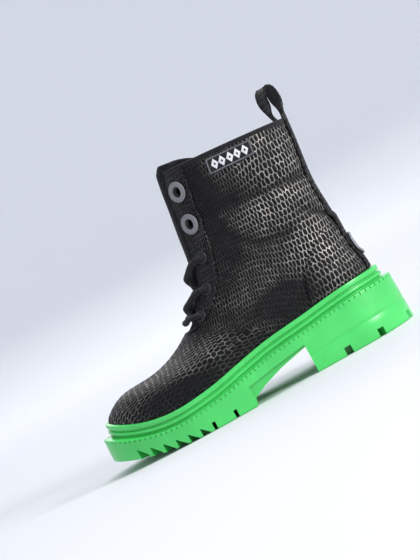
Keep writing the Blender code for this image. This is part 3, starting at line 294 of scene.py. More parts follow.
def levelAtHeight(column, rise):
    # the level at which a column stands a height above its feather line
    levels = np.linspace(1, collarLevel, 161)
    column = np.atleast_1d(np.asarray(column, float))
    z = form(np.repeat(column, 161), np.tile(levels, len(column)))[:, 2].reshape(len(column), 161)
    rise = np.broadcast_to(np.asarray(rise, float), column.shape)
    return np.array([np.interp(row[0] + r, row, levels) for row, r in zip(z, rise)])


# Where the print on the net is stronger or weaker: partly real rubbing, partly painted highlight where light
# glints on the shaft's rear and painted shade where it falls away and in hollows.
# side, (x, z), reach along and up, share added.
printAndSheenBase = 0.16
printAndSheenSpots = [
    (1, (-0.004, 0.148), (0.024, 0.026), 0.80), (1, (-0.004, 0.105), (0.024, 0.034), 0.76),
    (1, (0.012, 0.118), (0.034, 0.007), 0.40),
    (1, (-0.010, 0.064), (0.026, 0.026), 0.74), (1, (0.030, 0.112), (0.016, 0.022), 0.34),
    (1, (0.028, 0.080), (0.024, 0.012), 0.30), (1, (0.055, 0.070), (0.022, 0.008), 0.26),
    (1, (0.020, 0.160), (0.022, 0.016), 0.30), (1, (0.046, 0.128), (0.008, 0.004), 0.35),
    (1, (0.050, 0.140), (0.009, 0.045), -0.40), (1, (0.034, 0.055), (0.020, 0.010), -0.55),
    (1, (0.034, 0.134), (0.014, 0.006), -0.30), (1, (0.066, 0.046), (0.030, 0.004), 0.16),
    (1, (0.135, 0.050), (0.040, 0.009), 0.62), (1, (0.176, 0.040), (0.018, 0.012), 0.34),
    (1, (0.128, 0.035), (0.024, 0.007), -0.35), (1, (0.100, 0.058), (0.014, 0.012), 0.20),
    (-1, (-0.010, 0.120), (0.018, 0.060), 0.62), (-1, (0.020, 0.150), (0.030, 0.016), 0.22),
    (-1, (0.060, 0.110), (0.026, 0.050), 0.26), (-1, (0.135, 0.048), (0.045, 0.012), 0.50),
    (-1, (0.020, 0.058), (0.026, 0.016), 0.12), (-1, (-0.012, 0.058), (0.016, 0.018), 0.45),
]


def printAndSheenAt(points):
    # the share of the print left at each point, with painted highlight and painted shade in it
    x, y, z = np.asarray(points).reshape(-1, 3).T
    sides = {1: np.full(len(x), printAndSheenBase), -1: np.full(len(x), printAndSheenBase)}
    for side, (px, pz), (rx, rz), share in printAndSheenSpots:
        sides[side] += share * np.exp(-(((x - px) / rx) ** 2 + ((z - pz) / rz) ** 2) ** 1.3)
    for side, depth, soft, line in folds:  # painted shade: the print is dimmed along the creases
        if depth > 0.001:
            sides[side] *= 1 - 0.85 * np.exp(-(fromLine(x, z + 0.0008, line) / soft / 0.75) ** 2)
    outer = smooth(y / 0.016 + 0.5)
    left = sides[1] * outer + sides[-1] * (1 - outer)
    drift = 0.75 + 0.25 * np.sin(x / 0.0123 + 0.7) * np.sin(z / 0.0091 + 1.9) * np.sin((x + z) / 0.0172)
    return np.clip(left * drift, 0.04, 1.0)


# Mesh helpers
def linked(name, data):
    obj = bpy.data.objects.new(name, data)
    bpy.context.scene.collection.objects.link(obj)
    return obj


def shapeMesh(name, shape):
    # a bmesh made into a plain mesh, its faces pointing out
    bmesh.ops.recalc_face_normals(shape, faces=shape.faces)
    mesh = bpy.data.meshes.new(name)
    shape.to_mesh(mesh)
    shape.free()
    return mesh


def bridge(shape, loops):
    # side faces between each loop of points and the next
    for a, b in zip(loops, loops[1:]):
        for n in range(len(a)):
            m = (n + 1) % len(a)
            shape.faces.new((a[n], a[m], b[m], b[n]))


def finishMesh(name, mesh, finishes, stands="", body=bodyName, sharp=40):
    # the piece's object, its finishes in the order of its faces' numbers, riding on its body
    obj = linked(name, mesh)
    kinds = np.zeros(len(mesh.polygons), np.int32)
    mesh.polygons.foreach_get("material_index", kinds)
    mesh.materials.clear()
    for word in finishes.split():
        mesh.materials.append(materials[word])
    mesh.polygons.foreach_set("material_index", np.minimum(kinds, len(mesh.materials) - 1))
    mesh.shade_smooth()
    mesh.set_sharp_from_angle(angle=math.radians(sharp))
    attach(obj, body)
    if stands:
        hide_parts(stands)
    return obj


def rawMesh(name, points, faces, uvs=None, kinds=None, printAndSheen=None):
    # uvs and the print share are values for each point, kinds for each face; the print share carries painted
    # highlight and painted shade
    mesh = bpy.data.meshes.new(name)
    mesh.from_pydata(np.asarray(points, float).reshape(-1, 3), [], faces)
    if uvs is not None:
        layer = mesh.uv_layers.new(name="surfaceMap")
        index = np.zeros(len(mesh.loops), np.int32)
        mesh.loops.foreach_get("vertex_index", index)
        layer.data.foreach_set("uv", np.asarray(uvs, np.float32).reshape(-1, 2)[index].ravel())
    if kinds is not None:
        mesh.polygons.foreach_set("material_index", np.asarray(kinds, np.int32))
    if printAndSheen is not None:
        mesh.attributes.new("printAndSheen", "FLOAT", "POINT").data.foreach_set("value", np.asarray(printAndSheen, np.float32))
    mesh.update()
    return mesh


def mapOf(across, along):
    # a flat map from one row of widths and one column of lengths
    return np.stack(np.broadcast_arrays(across[None, :], along[:, None]), axis=-1)


def turnedOut(mesh, merge=0.0):
    # a closed mesh with its faces pointing out
    shape = bmesh.new()
    shape.from_mesh(mesh)
    if merge:
        bmesh.ops.remove_doubles(shape, verts=shape.verts, dist=merge)
    bmesh.ops.recalc_face_normals(shape, faces=shape.faces)
    shape.to_mesh(mesh)
    shape.free()
    return mesh


def gridQuads(rows, columns, closed=False, keep=None):
    r, c = np.meshgrid(np.arange(rows - 1), np.arange(columns if closed else columns - 1), indexing="ij")
    low, high, n = r * columns, (r + 1) * columns, (c + 1) % columns
    quads = np.stack([low + c, low + n, high + n, high + c], axis=-1)
    return quads[keep] if keep is not None else quads.reshape(-1, 4)


def tubeMesh(name, points, uv):
    # rows of closed rings with a flat cap at both ends
    rows, count = points.shape[:2]
    caps = [range(count), range((rows - 1) * count, rows * count)]
    return turnedOut(rawMesh(name, points, gridQuads(rows, count, closed=True).tolist() + caps, uv))


def ringMesh(name, points):
    # rings set round in a closed loop
    steps, count = points.shape[:2]
    r, c = np.meshgrid(np.arange(steps), np.arange(count), indexing="ij")
    on, beside = (r + 1) % steps * count, (c + 1) % count
    quads = np.stack([r * count + c, on + c, on + beside, r * count + beside], axis=-1)
    return turnedOut(rawMesh(name, points, quads.reshape(-1, 4).tolist()))


def stackMesh(name, points):
    # rings laid on each other, closed above and below by strips from side to side
    rows, count = points.shape[:2]
    faces = gridQuads(rows, count, closed=True).tolist()
    for first in (0, (rows - 1) * count):
        for c in range(count // 2):
            ring = [c, c + 1, (count - c - 1) % count, (count - c) % count]
            faces.append([first + v for n, v in enumerate(ring) if v not in ring[:n]])
    return turnedOut(rawMesh(name, points, faces))


def wallMesh(name, outer, inner, uv, closed=False, keep=None, innerKind=1, printAndSheen=None):
    # a closed wall between two grids of the same shape, with a rim round every free edge
    rows, columns = outer.shape[:2]
    quads = gridQuads(rows, columns, closed, keep)
    count = rows * columns
    edges = np.concatenate([quads[:, [0, 1]], quads[:, [1, 2]], quads[:, [2, 3]], quads[:, [3, 0]]])
    key = np.sort(edges, axis=1)
    code = key[:, 0] * count + key[:, 1]
    _, where, times = np.unique(code, return_index=True, return_counts=True)
    free = edges[where[times == 1]]
    rim = np.stack([free[:, 1], free[:, 0], free[:, 0] + count, free[:, 1] + count], axis=1)
    faces = np.concatenate([quads, quads[:, ::-1] + count, rim])
    kinds = np.concatenate([np.zeros(len(quads)), np.full(len(quads), innerKind), np.zeros(len(rim))])
    points = np.concatenate([outer.reshape(-1, 3), inner.reshape(-1, 3)])
    maps = np.concatenate([uv.reshape(-1, 2)] * 2)
    used = np.unique(faces)
    place = np.full(len(points), -1)
    place[used] = np.arange(len(used))
    # the print share at each point, which carries painted highlight and painted shade
    left = printAndSheenAt(points[used]) if printAndSheen is None else np.full(len(used), printAndSheen)
    return rawMesh(name, points[used], place[faces], maps[used], kinds, left)


def flatten(points, guess, rounds=700):
    # lays a curved grid flat as leather is cut, keeping its lengths
    flat = np.array(guess, float)
    every, first, rest = slice(None), slice(0, -1), slice(1, None)
    pairs = [((every, first), (every, rest)), ((first, every), (rest, every)),
             ((first, first), (rest, rest)), ((first, rest), (rest, first))]
    aims = [np.linalg.norm(points[b] - points[a], axis=-1) for a, b in pairs]
    count = np.zeros(flat.shape[:2])
    for a, b in pairs:
        count[a] += 1
        count[b] += 1
    for _ in range(rounds):
        move = np.zeros_like(flat)
        for (a, b), aim in zip(pairs, aims):
            reach = flat[b] - flat[a]
            size = np.maximum(np.linalg.norm(reach, axis=-1), 1e-9)
            pull = reach * (0.5 * (size - aim) / size)[..., None]
            move[a] += pull
            move[b] -= pull
        flat += move / count[..., None] * 1.5
    return flat


def finer(coarse, rows, columns):
    # a coarse grid read at more, evenly spread points
    for axis, count in enumerate((rows, columns)):
        at = np.linspace(0, coarse.shape[axis] - 1, count)
        low = np.clip(at.astype(int), 0, coarse.shape[axis] - 2)
        part = np.reshape(at - low, (-1, 1, 1) if axis == 0 else (1, -1, 1))
        coarse = np.take(coarse, low, axis) * (1 - part) + np.take(coarse, low + 1, axis) * part
    return coarse


def wander(uv, reach=0.0007, seed=0.0):
    # the net's rows drift a little, as in skin
    u, v = uv[..., 0], uv[..., 1]
    du = np.sin(v / 0.0061 + 1.7 + seed) * np.sin(u / 0.0083 + seed)
    du += 0.8 * np.sin(v / 0.0132 + u / 0.0201 + seed)
    dv = np.sin(u / 0.0057 + 0.6 + seed) * np.sin(v / 0.0094 + 2.1)
    dv += 0.8 * np.sin(u / 0.0171 - v / 0.0232 + seed)
    du += 0.42 * np.sin(v / 0.0016 + seed) * np.sin(u / 0.0013 + 2.0 * np.sin(v / 0.0071))
    dv += 0.38 * np.sin(u / 0.0014 + 1.3) * np.sin(v / 0.0018 + 2.0 * np.sin(u / 0.0063 + seed))
    fineU = np.sin(v / 0.00071 + 3 * np.sin(u / 0.0029 + seed)) * np.sin(u / 0.00113 + 0.4)
    fineV = np.sin(u / 0.00083 + 3 * np.sin(v / 0.0034 + 1.2)) * np.sin(v / 0.00127 + seed)
    return np.stack([u + reach * (du + 0.22 * fineU), v + reach * (dv + 0.26 * fineV)], axis=-1)


def gathered(u, start, spread, share):
    # scales grow smaller past a place: the integral of a smooth step added to u
    t = np.clip((u - start) / spread, 0, 1)
    return u + share * spread * (t ** 3 - t ** 4 / 2) + share * np.clip(u - start - spread, 0, None)


sixty = 0.8660254  # sine of 60 degrees: the scales are six-sided


def cellEdge(uv, cell):
    # 0 in the middle of a scale, 1 on the net between scales
    p = uv / np.array([cell[0], cell[1] / sixty])
    size = np.array([1.0, 2 * sixty])
    a = p - size * np.floor(p / size + 0.5)
    b = (p - size / 2) - size * np.floor((p - size / 2) / size + 0.5)
    nearA = (a * a).sum(-1) < (b * b).sum(-1)
    g = np.abs(np.where(nearA[..., None], a, b))
    return 2 * np.maximum(g[..., 0], g[..., 0] * 0.5 + g[..., 1] * sixty)


def relief(uv, cell, depth):
    return -depth * (1 - smooth((1 - cellEdge(uv, cell)) / 0.42))


# Shader helpers
def fill(tree, socket, value):
    # links another node's socket, or sets the socket's own value
    if isinstance(value, bpy.types.NodeSocket):
        tree.links.new(value, socket)
    else:
        socket.default_value = (*value, 1) if socket.type == "RGBA" and len(value) == 3 else value


def addNode(tree, kind, values=(), **props):
    made = tree.nodes.new(kind)
    for key, value in props.items():
        setattr(made, key, value)
    for key, value in dict(values).items():
        fill(tree, made.inputs[key], value)
    return made


class Finish:
    # a material and short calls for the nodes it needs
    def __init__(self, name, colour, roughness, metallic=0.0, **fixed):
        self.made = bpy.data.materials.new(name)
        self.made.use_nodes = True
        self.made.diffuse_color = (*colour, 1)
        self.tree = self.made.node_tree
        self.feed(Base_Color=colour, Roughness=roughness, Metallic=metallic, **fixed)

    def feed(self, **values):
        for socket, value in values.items():
            fill(self.tree, self.tree.nodes["Principled BSDF"].inputs[socket.replace("_", " ")], value)
        return self.made

    def node(self, kind, values=(), **props):
        return addNode(self.tree, "ShaderNode" + kind, values, **props)

    def math(self, operation, *values):
        return self.node("Math", dict(enumerate(values)), operation=operation).outputs[0]

    def times(self, a, b):
        return self.math("MULTIPLY", a, b)

    def vector(self, operation, *values):
        made = self.node("VectorMath", dict(enumerate(values)), operation=operation)
        return made.outputs[1 if operation == "DOT_PRODUCT" else 0]

    def split(self, point):
        return self.node("SeparateXYZ", {0: point}).outputs[:2]

    def ramp(self, value, low, high, toLow=0.0, toHigh=1.0):
        values = {0: value, 1: low, 2: high, 3: toLow, 4: toHigh}
        return self.node("MapRange", values, interpolation_type="SMOOTHSTEP").outputs[0]

    def mix(self, factor, a, b, kind="RGBA"):
        made = self.node("Mix", data_type=kind)
        for socket, value in zip([s for s in made.inputs if s.enabled], (factor, a, b)):
            fill(self.tree, socket, value)
        return [s for s in made.outputs if s.enabled][0]

    def objectPoint(self):
        return self.node("TexCoord").outputs["Object"]

    def mapPoint(self):
        return self.node("UVMap", uv_map="surfaceMap").outputs[0]

    def noise(self, point, scale, detail=3.0, rough=0.55):
        values = {"Vector": point, "Scale": scale, "Detail": detail, "Roughness": rough}
        return self.node("TexNoise", values).outputs[0]

    def bump(self, height, distance):
        return self.node("Bump", {"Height": height, "Distance": distance, "Strength": 1.0}).outputs[0]


def scaleLeather(name, look):
    # embossed leather: dark scales, a pewter print on the net between them
    f = Finish(name, look["pad"], look["roughness"], Specular_IOR_Level=look["specular"])
    point = f.mapPoint()
    p = f.vector("DIVIDE", point, (look["cell"][0], look["cell"][1] / sixty, 1.0))
    half, minus = (0.5, sixty, 0.0), (-0.5, -sixty, 0.0)
    a = f.vector("WRAP", p, half, minus)
    b = f.vector("WRAP", f.vector("SUBTRACT", p, half), half, minus)
    near = f.math("LESS_THAN", f.vector("DOT_PRODUCT", a, a), f.vector("DOT_PRODUCT", b, b))
    inScale = f.mix(near, b, a, "VECTOR")
    x, y = f.split(f.vector("ABSOLUTE", inScale))
    rungs = f.ramp(f.noise(point, 130.0, 2.0), 0.35, 0.65, look["rungs"], 0.985)
    slant = f.times(f.math("ADD", f.times(x, 0.5), f.times(y, sixty)), rungs)
    edge = f.times(f.math("MAXIMUM", x, slant), 2.0)
    scale = f.vector("SUBTRACT", p, inScale)
    own = f.node("TexWhiteNoise", {"Vector": scale}, noise_dimensions="2D").outputs[0]
    ragged = f.math("MULTIPLY_ADD", f.noise(point, 900.0, 2.0), look["ragged"], -look["ragged"] / 2)
    net = f.ramp(f.math("ADD", edge, ragged), 1 - look["band"], 1 - look["band"] * 0.35)
    patch = f.ramp(f.noise(f.objectPoint(), 60.0, 3.0), 0.32, 0.68, look["patchLow"], 1.0)
    # the print share from the mesh, which carries painted highlight where light glints and painted shade in
    # the creases
    printAndSheen = f.node("Attribute", attribute_name="printAndSheen", attribute_type="GEOMETRY").outputs["Fac"]
    broken = f.ramp(f.noise(point, 520.0, 2.0), 0.25, 0.6, look["broken"], 1.0)
    printed = f.times(f.times(net, patch), f.times(printAndSheen, broken))
    grain = f.noise(point, 2600.0, 3.0, 0.6)
    dull = f.math("MULTIPLY_ADD", grain, 0.16, look["roughness"] - 0.08)
    height = f.math("ADD", f.ramp(edge, 1.0, 0.35), f.times(grain, 0.22))
    dark = f.mix(f.times(own, 0.6), look["pad"], look["padAlt"])
    return f.feed(Base_Color=f.mix(printed, dark, look["net"]),
                  Metallic=f.times(printed, look["metal"]),
                  Roughness=f.math("MULTIPLY_ADD", printed, look["netRough"] - look["roughness"], dull),
                  Normal=f.bump(height, look["bump"]))


def clothMaterial(name, colour, lift, roughness, sheen, thread, bump, mapped):
    # woven or knitted cloth: two crossed ribs with fuzz between
    f = Finish(name, colour, roughness, Sheen_Weight=sheen, Sheen_Roughness=0.5, Specular_IOR_Level=0.25)
    point = f.mapPoint() if mapped else f.objectPoint()
    x, y = f.split(point)
    ribs = [f.math("SINE", f.times(f.math(way, x, y), 2 * math.pi / thread)) for way in ("ADD", "SUBTRACT")]
    weave = f.math("MULTIPLY_ADD", f.times(*ribs), 0.5, 0.5)
    cloudy = f.ramp(f.ramp(f.noise(point, 45.0, 3.0), 0.3, 0.7), 0.0, 1.0, 0.55, 1.0)
    light = tuple(min(1.0, v * lift) for v in colour)
    return f.feed(Base_Color=f.mix(f.times(weave, cloudy), colour, light),
                  Normal=f.bump(f.math("MULTIPLY_ADD", f.noise(point, 1800.0, 4.0, 0.7), 0.5, weave), bump))


def metalMaterial(name, colour, alt, roughness, metal, coat, scale):
    # painted or bare metal and hard rubber, with fine specks and rubbed places
    f = Finish(name, colour, roughness, metal, Coat_Weight=coat, Coat_Roughness=0.2)
    point = f.objectPoint()
    rub = f.noise(point, scale, 4.0, 0.65)
    specks = f.ramp(f.noise(point, scale * 9, 2.0), 0.35, 0.7)
    return f.feed(Base_Color=f.mix(specks, colour, alt), Normal=f.bump(f.math("ADD", specks, rub), 0.00003),
                  Roughness=f.math("MULTIPLY_ADD", rub, 0.24, roughness - 0.12))


def soleMaterial(colour, deep, rub):
    # bright satin moulded rubber, a little lighter on rubbed places, with a fine moulded grain
    f = Finish("moulded_green", colour, 0.40, Specular_IOR_Level=0.6, Coat_Weight=0.35, Coat_Roughness=0.26)
    point = f.objectPoint()
    cloudy = f.ramp(f.noise(point, 28.0, 4.0), 0.3, 0.7)
    scuff = f.ramp(f.noise(point, 240.0, 5.0, 0.7), 0.62, 0.78)
    grain = f.noise(point, 2400.0, 2.0)
    height = f.math("MULTIPLY_ADD", f.noise(point, 190.0, 3.0), 1.5, grain)
    return f.feed(Base_Color=f.mix(f.times(scuff, 0.22), f.mix(cloudy, deep, colour), rub),
                  Roughness=f.math("MULTIPLY_ADD", cloudy, -0.10, f.math("MULTIPLY_ADD", grain, 0.12, 0.34)),
                  Normal=f.bump(height, 0.00005))


leatherLook = dict(
    cell=(0.0031, 0.0049), rungs=0.86, pad=(0.0030, 0.0030, 0.0038), padAlt=(0.0060, 0.0058, 0.0070),
    net=(0.62, 0.585, 0.53), metal=0.45, roughness=0.52, netRough=0.38, specular=0.15, band=0.26,
    ragged=0.28, patchLow=0.55, broken=0.38, bump=0.00022)
facingLook = dict(leatherLook, cell=(0.0027, 0.0042), net=(0.30, 0.29, 0.275), metal=0.35, patchLow=0.45)
stripLook = dict(leatherLook, cell=(0.0024, 0.0038), net=(0.42, 0.40, 0.365), metal=0.4, patchLow=0.4)
vampLook = dict(leatherLook, cell=(0.0026, 0.0045))
tongueLook = dict(facingLook, cell=(0.0026, 0.0040), net=(0.16, 0.16, 0.16))
clothLooks = dict(  # name, colour, lift, roughness, sheen, thread, bump, on the piece's own map
    lining=("lining_knit", (0.016, 0.017, 0.022), 1.9, 0.85, 0.2, 0.0011, 0.00012, True),
    binding=("edge_binding", (0.006, 0.006, 0.0075), 1.7, 0.75, 0.1, 0.0009, 0.00010, True),
    footbed=("footbed_cloth", (0.022, 0.024, 0.029), 2.0, 0.9, 0.4, 0.0016, 0.00018, False),
    tape=("zip_twill", (0.009, 0.009, 0.011), 1.9, 0.8, 0.2, 0.0010, 0.00014, True),
    lace=("lace_braid", (0.006, 0.006, 0.0075), 2.4, 0.72, 0.12, 0.0012, 0.00016, True),
    thread=("black_thread", (0.006, 0.006, 0.007), 2.0, 0.6, 0.05, 0.0005, 0.00006, False),
    label=("woven_label", (0.006, 0.006, 0.008), 1.8, 0.7, 0.08, 0.0007, 0.00008, True),
    labelPale=("woven_pale", (0.62, 0.63, 0.65), 1.25, 0.7, 0.2, 0.0007, 0.00010, False),
    labelEdge=("woven_edge", (0.115, 0.12, 0.13), 1.5, 0.7, 0.2, 0.0007, 0.00008, False),
)
metalLooks = dict(  # name, colour, colour of its specks, roughness, metallic, coat, scale of the rubbing
    grey=("matt_grey_metal", (0.27, 0.27, 0.285), (0.17, 0.17, 0.18), 0.5, 0.55, 0.0, 420.0),
    black=("black_enamel", (0.010, 0.010, 0.012), (0.018, 0.018, 0.020), 0.34, 0.35, 0.25, 380.0),
    zipMetal=("zip_gloss_black", (0.040, 0.040, 0.045), (0.070, 0.070, 0.078), 0.24, 0.85, 0.5, 500.0),
    badge=("badge_rubber", (0.013, 0.013, 0.016), (0.020, 0.020, 0.024), 0.55, 0.0, 0.0, 700.0),
    badgeRing=("badge_ring", (0.27, 0.285, 0.32), (0.19, 0.20, 0.225), 0.5, 0.2, 0.0, 600.0),
)
materials = dict(
    quarter=scaleLeather("scale_leather", leatherLook),
    vamp=scaleLeather("scale_leather_vamp", vampLook),
    facing=scaleLeather("scale_leather_facing", facingLook),
    strip=scaleLeather("scale_leather_strip", stripLook),
    tongue=scaleLeather("tongue_leather", tongueLook),
    sole=soleMaterial((0.058, 0.64, 0.122), (0.042, 0.545, 0.096), (0.18, 0.74, 0.25)),
)
materials.update((word, clothMaterial(*look)) for word, look in clothLooks.items())
materials.update((word, metalMaterial(*look)) for word, look in metalLooks.items())
print("finishes made")


# Sole
soleSizes = dict(
    rim=0.0026, heelRim=0.0030, upperBand=0.0046, lowerBand=0.0034, ledge=0.0036, toeBumper=0.0026,
    heelBumper=0.0018, flare=0.0006, chamfer=0.0008, archRecess=0.0040, bandGroove=0.0018, notchDepth=0.0120,
    heelNotch=(0.0052, 0.0060), barGroove=(0.0025, 0.0058), sawPitch=0.0092, sawWidth=0.0072,
    sawHeight=0.0054, columns=176, ledgeNotchPitch=0.0038, ledgeNotch=(0.0009, 0.0016, 0.0026))
archLine = ((0.00, 0.445), (0.088, 0.342), (0.157, 0.222), (0.197, 0.122), (0.204, -0.010))


def roundColumns(perSide):
    # evenly spaced columns right round the feather line, outer side first
    outer = columnAt(np.linspace(0, markAt(1, 1, 5), perSide + 1), 1.0, 1)
    inner = columnAt(np.linspace(markAt(1, -1, 5), 0, perSide + 1), 1.0, -1)
    return np.concatenate([outer, inner[1:-1]])


soleColumns = roundColumns(soleSizes["columns"])


def soleOutline(extra, columns):
    base = form(columns, 1.0)
    along = form(columns + 0.05, 1.0) - form(columns - 0.05, 1.0)
    out = np.stack([along[:, 1], -along[:, 0]], axis=1)
    out /= np.linalg.norm(out, axis=1)[:, None]
    moved = base.copy()
    moved[:, :2] += out * np.reshape(extra, (-1, 1))
    return moved, base[:, 0] + heelCentre


def rimExtra(columns):
    return gap + soleSizes["rim"] + soleSizes["heelRim"] * smooth(np.abs(columns) / 24 * 8 - 7)


def wallExtra(columns):
    share = np.abs(columns) / 24
    return rimExtra(columns) + soleSizes["ledge"] + soleSizes["toeBumper"] * smooth(1 - share / 0.35) \
        + soleSizes["heelBumper"] * smooth(share * 4 - 3)


coarseColumns = np.concatenate([np.arange(0, 25), np.arange(-23, 0)]).astype(float)


def soleSide(station, side):
    # plan place and outward direction of the sole's lower wall at a station on one side
    outline, _ = soleOutline(wallExtra(coarseColumns) + soleSizes["flare"], coarseColumns)
    half = outline[(coarseColumns >= 0) if side > 0 else (coarseColumns <= 0)]
    half = half[half[:, 1] * side > 0]
    half = half[np.argsort(half[:, 0])]
    x = station - heelCentre
    y, ahead, behind = (float(np.interp(x + d, half[:, 0], half[:, 1])) for d in (0.0, 0.004, -0.004))
    return Vector((x, y, 0)), Vector((-side * (ahead - behind) / 0.008, side, 0)).normalized()


def boxOutline(width, height):
    return [(-width / 2, -0.01), (width / 2, -0.01), (width / 2, height), (-width / 2, height)]


def addPrism(shape, outline, low, high, place):
    ends = [[shape.verts.new(place @ Vector((x, y, z))) for x, z in outline] for y in (low, high)]
    bridge(shape, ends)
    shape.faces.new(ends[0])
    shape.faces.new(ends[1][::-1])


def addSideNotch(shape, station, side, outline, lift=0.0):
    place, out = soleSide(station, side)
    forward = out.cross(Vector((0, 0, 1))) * (1 if out.y > 0 else -1)
    turn = Matrix((forward, out, Vector((0, 0, 1)))).transposed().to_4x4()
    place.z += lift
    addPrism(shape, outline, -soleSizes["notchDepth"], 0.01, Matrix.Translation(place) @ turn)


def archCutters():
    start, length = last["heelLength"], last["length"]
    line = np.array([(start + length * s, last["heelStack"] * h) for s, h in archLine])
    outline = [a * (1 - t) + b * t for a, b in zip(line, line[1:]) for t in (0.0, 0.5)]
    outline += [line[-1], (line[-1][0], -0.01), (start, -0.01)]
    shape = bmesh.new()
    addPrism(shape, outline, -0.08, 0.08, Matrix.Translation((-heelCentre, 0, 0)))
    under = linked("archCutter", shapeMesh("archCutter", shape))
    shape = bmesh.new()
    for side in (1, -1):
        rows = []
        for share in np.linspace(0, 1, 9):
            station = start + length * 0.200 * share
            place, _ = soleSide(station, side)
            lip = float(featherHeight(station)) - soleSizes["upperBand"] - soleSizes["lowerBand"]
            top = lip - (lip - float(treadHeight(station))) * (0.31 + 0.09 * share)
            inside, outside = place.y - side * soleSizes["archRecess"], place.y + side * 0.01
            corners = ((inside, -0.01), (outside, -0.01), (outside, top), (inside, top))
            rows.append([shape.verts.new((place.x, y, z)) for y, z in corners])
        bridge(shape, rows)
        shape.faces.new(rows[0][::-1])
        shape.faces.new(rows[-1])
    return under, linked("archStepCutter", shapeMesh("archStepCutter", shape))


def treadCutter():
    shape = bmesh.new()
    saw = soleSizes["sawHeight"]
    for side in (1, -1):
        for share in (0.335, 0.672):
            addSideNotch(shape, last["heelLength"] * share, side, boxOutline(*soleSizes["heelNotch"]))
        for tooth in range(6):
            station = last["length"] * 0.713 + soleSizes["sawPitch"] * tooth
            outline = [(0, -0.01), (0, saw), (-0.0008, saw), (-soleSizes["sawWidth"], -0.0004),
                       (-soleSizes["sawWidth"], -0.01)]
            addSideNotch(shape, station, side, outline, float(treadHeight(station)))
    for share in (0.596, 0.668):
        bar = Matrix.Translation((last["length"] * share - heelCentre, 0, 0))
        addPrism(shape, boxOutline(*soleSizes["barGroove"]), -0.08, 0.08, bar)
    back = float(soleOutline(wallExtra(coarseColumns), coarseColumns)[0][24, 0])
    for side in (1, -1):
        place = Matrix.Translation((back, side * last["ballWidth"] * 0.150, 0))
        turn = place @ Matrix.Rotation(math.pi / 2, 4, "Z")
        addPrism(shape, boxOutline(*soleSizes["heelNotch"]), -soleSizes["notchDepth"], 0.01, turn)
    return linked("treadCutter", shapeMesh("treadCutter", shape))


def repeatGroup():
    # Geometry Nodes: one small shape on every point, turned by the point's own up and along
    tree = bpy.data.node_groups.new("repeatOnPoints", "GeometryNodeTree")
    socket = tree.interface.new_socket
    socket("Geometry", in_out="INPUT", socket_type="NodeSocketGeometry")
    kinds = dict(Shape="Object", Size="Vector", Finish="Material", Unevenness="Float", Seed="Int")
    inputs = {label: socket(label, in_out="INPUT", socket_type="NodeSocket" + kind).identifier
              for label, kind in kinds.items()}
    socket("Geometry", in_out="OUTPUT", socket_type="NodeSocketGeometry")
    start = addNode(tree, "NodeGroupInput").outputs
    shape = addNode(tree, "GeometryNodeObjectInfo", {"Object": start["Shape"]}, transform_space="ORIGINAL")
    up, along = (addNode(tree, "GeometryNodeInputNamedAttribute", {"Name": label}, data_type="FLOAT_VECTOR")
                 for label in ("up", "along"))
    turn = addNode(tree, "FunctionNodeAxesToRotation", {0: up.outputs[0], 1: along.outputs[0]},
                   primary_axis="Z", secondary_axis="X")
    limits = [addNode(tree, "ShaderNodeMath", {0: 1.0, 1: start["Unevenness"]}, operation=way).outputs[0]
              for way in ("SUBTRACT", "ADD")]
    uneven = addNode(tree, "FunctionNodeRandomValue", {"Seed": start["Seed"]}, data_type="FLOAT")
    for end, value in zip([s for s in uneven.inputs if s.enabled], limits):
        fill(tree, end, value)
    factor = [s for s in uneven.outputs if s.enabled][0]
    size = addNode(tree, "ShaderNodeVectorMath", {0: start["Size"], "Scale": factor}, operation="SCALE")
    values = {"Points": start["Geometry"], "Instance": shape.outputs["Geometry"], "Rotation": turn.outputs[0],
              "Scale": size.outputs[0]}
    put = addNode(tree, "GeometryNodeInstanceOnPoints", values)
    real = addNode(tree, "GeometryNodeRealizeInstances", {0: put.outputs[0]})
    values = {"Geometry": real.outputs[0], "Material": start["Finish"]}
    paint = addNode(tree, "GeometryNodeSetMaterial", values)
    addNode(tree, "NodeGroupOutput", {0: paint.outputs[0]})
    return tree, inputs


repeatTree, repeatInputs = repeatGroup()


def repeated(name, shape, places, ups, alongs, size, word, uneven=0.0, seed=1):
    # a plain mesh with the shape at every place
    mesh = bpy.data.meshes.new(name + "Points")
    mesh.vertices.add(len(places))
    mesh.vertices.foreach_set("co", np.asarray(places, np.float32).ravel())
    for label, values in (("up", ups), ("along", alongs)):
        layer = mesh.attributes.new(label, "FLOAT_VECTOR", "POINT")
        layer.data.foreach_set("vector", np.asarray(values, np.float32).ravel())
    points = linked(name + "Points", mesh)
    modifier = points.modifiers.new("repeat", "NODES")
    modifier.node_group = repeatTree
    values = dict(Shape=shape, Size=Vector(size), Finish=materials[word], Unevenness=uneven, Seed=seed)
    for label, value in values.items():
        modifier[repeatInputs[label]] = value
    bpy.context.view_layer.update()
    made = bpy.data.meshes.new_from_object(points.evaluated_get(bpy.context.evaluated_depsgraph_get()))
    made.name = name
    bpy.data.objects.remove(points)
    return made


def templateObject(name, shape):
    return bpy.data.objects.new(name, shapeMesh(name, shape))  # not linked, so it never shows


def boxTemplate(name, bevel=0.0):
    shape = bmesh.new()
    bmesh.ops.create_cube(shape, size=1.0)
    if bevel:
        bmesh.ops.bevel(shape, geom=shape.edges[:], offset=bevel, segments=1, affect="EDGES")
    return templateObject(name, shape)


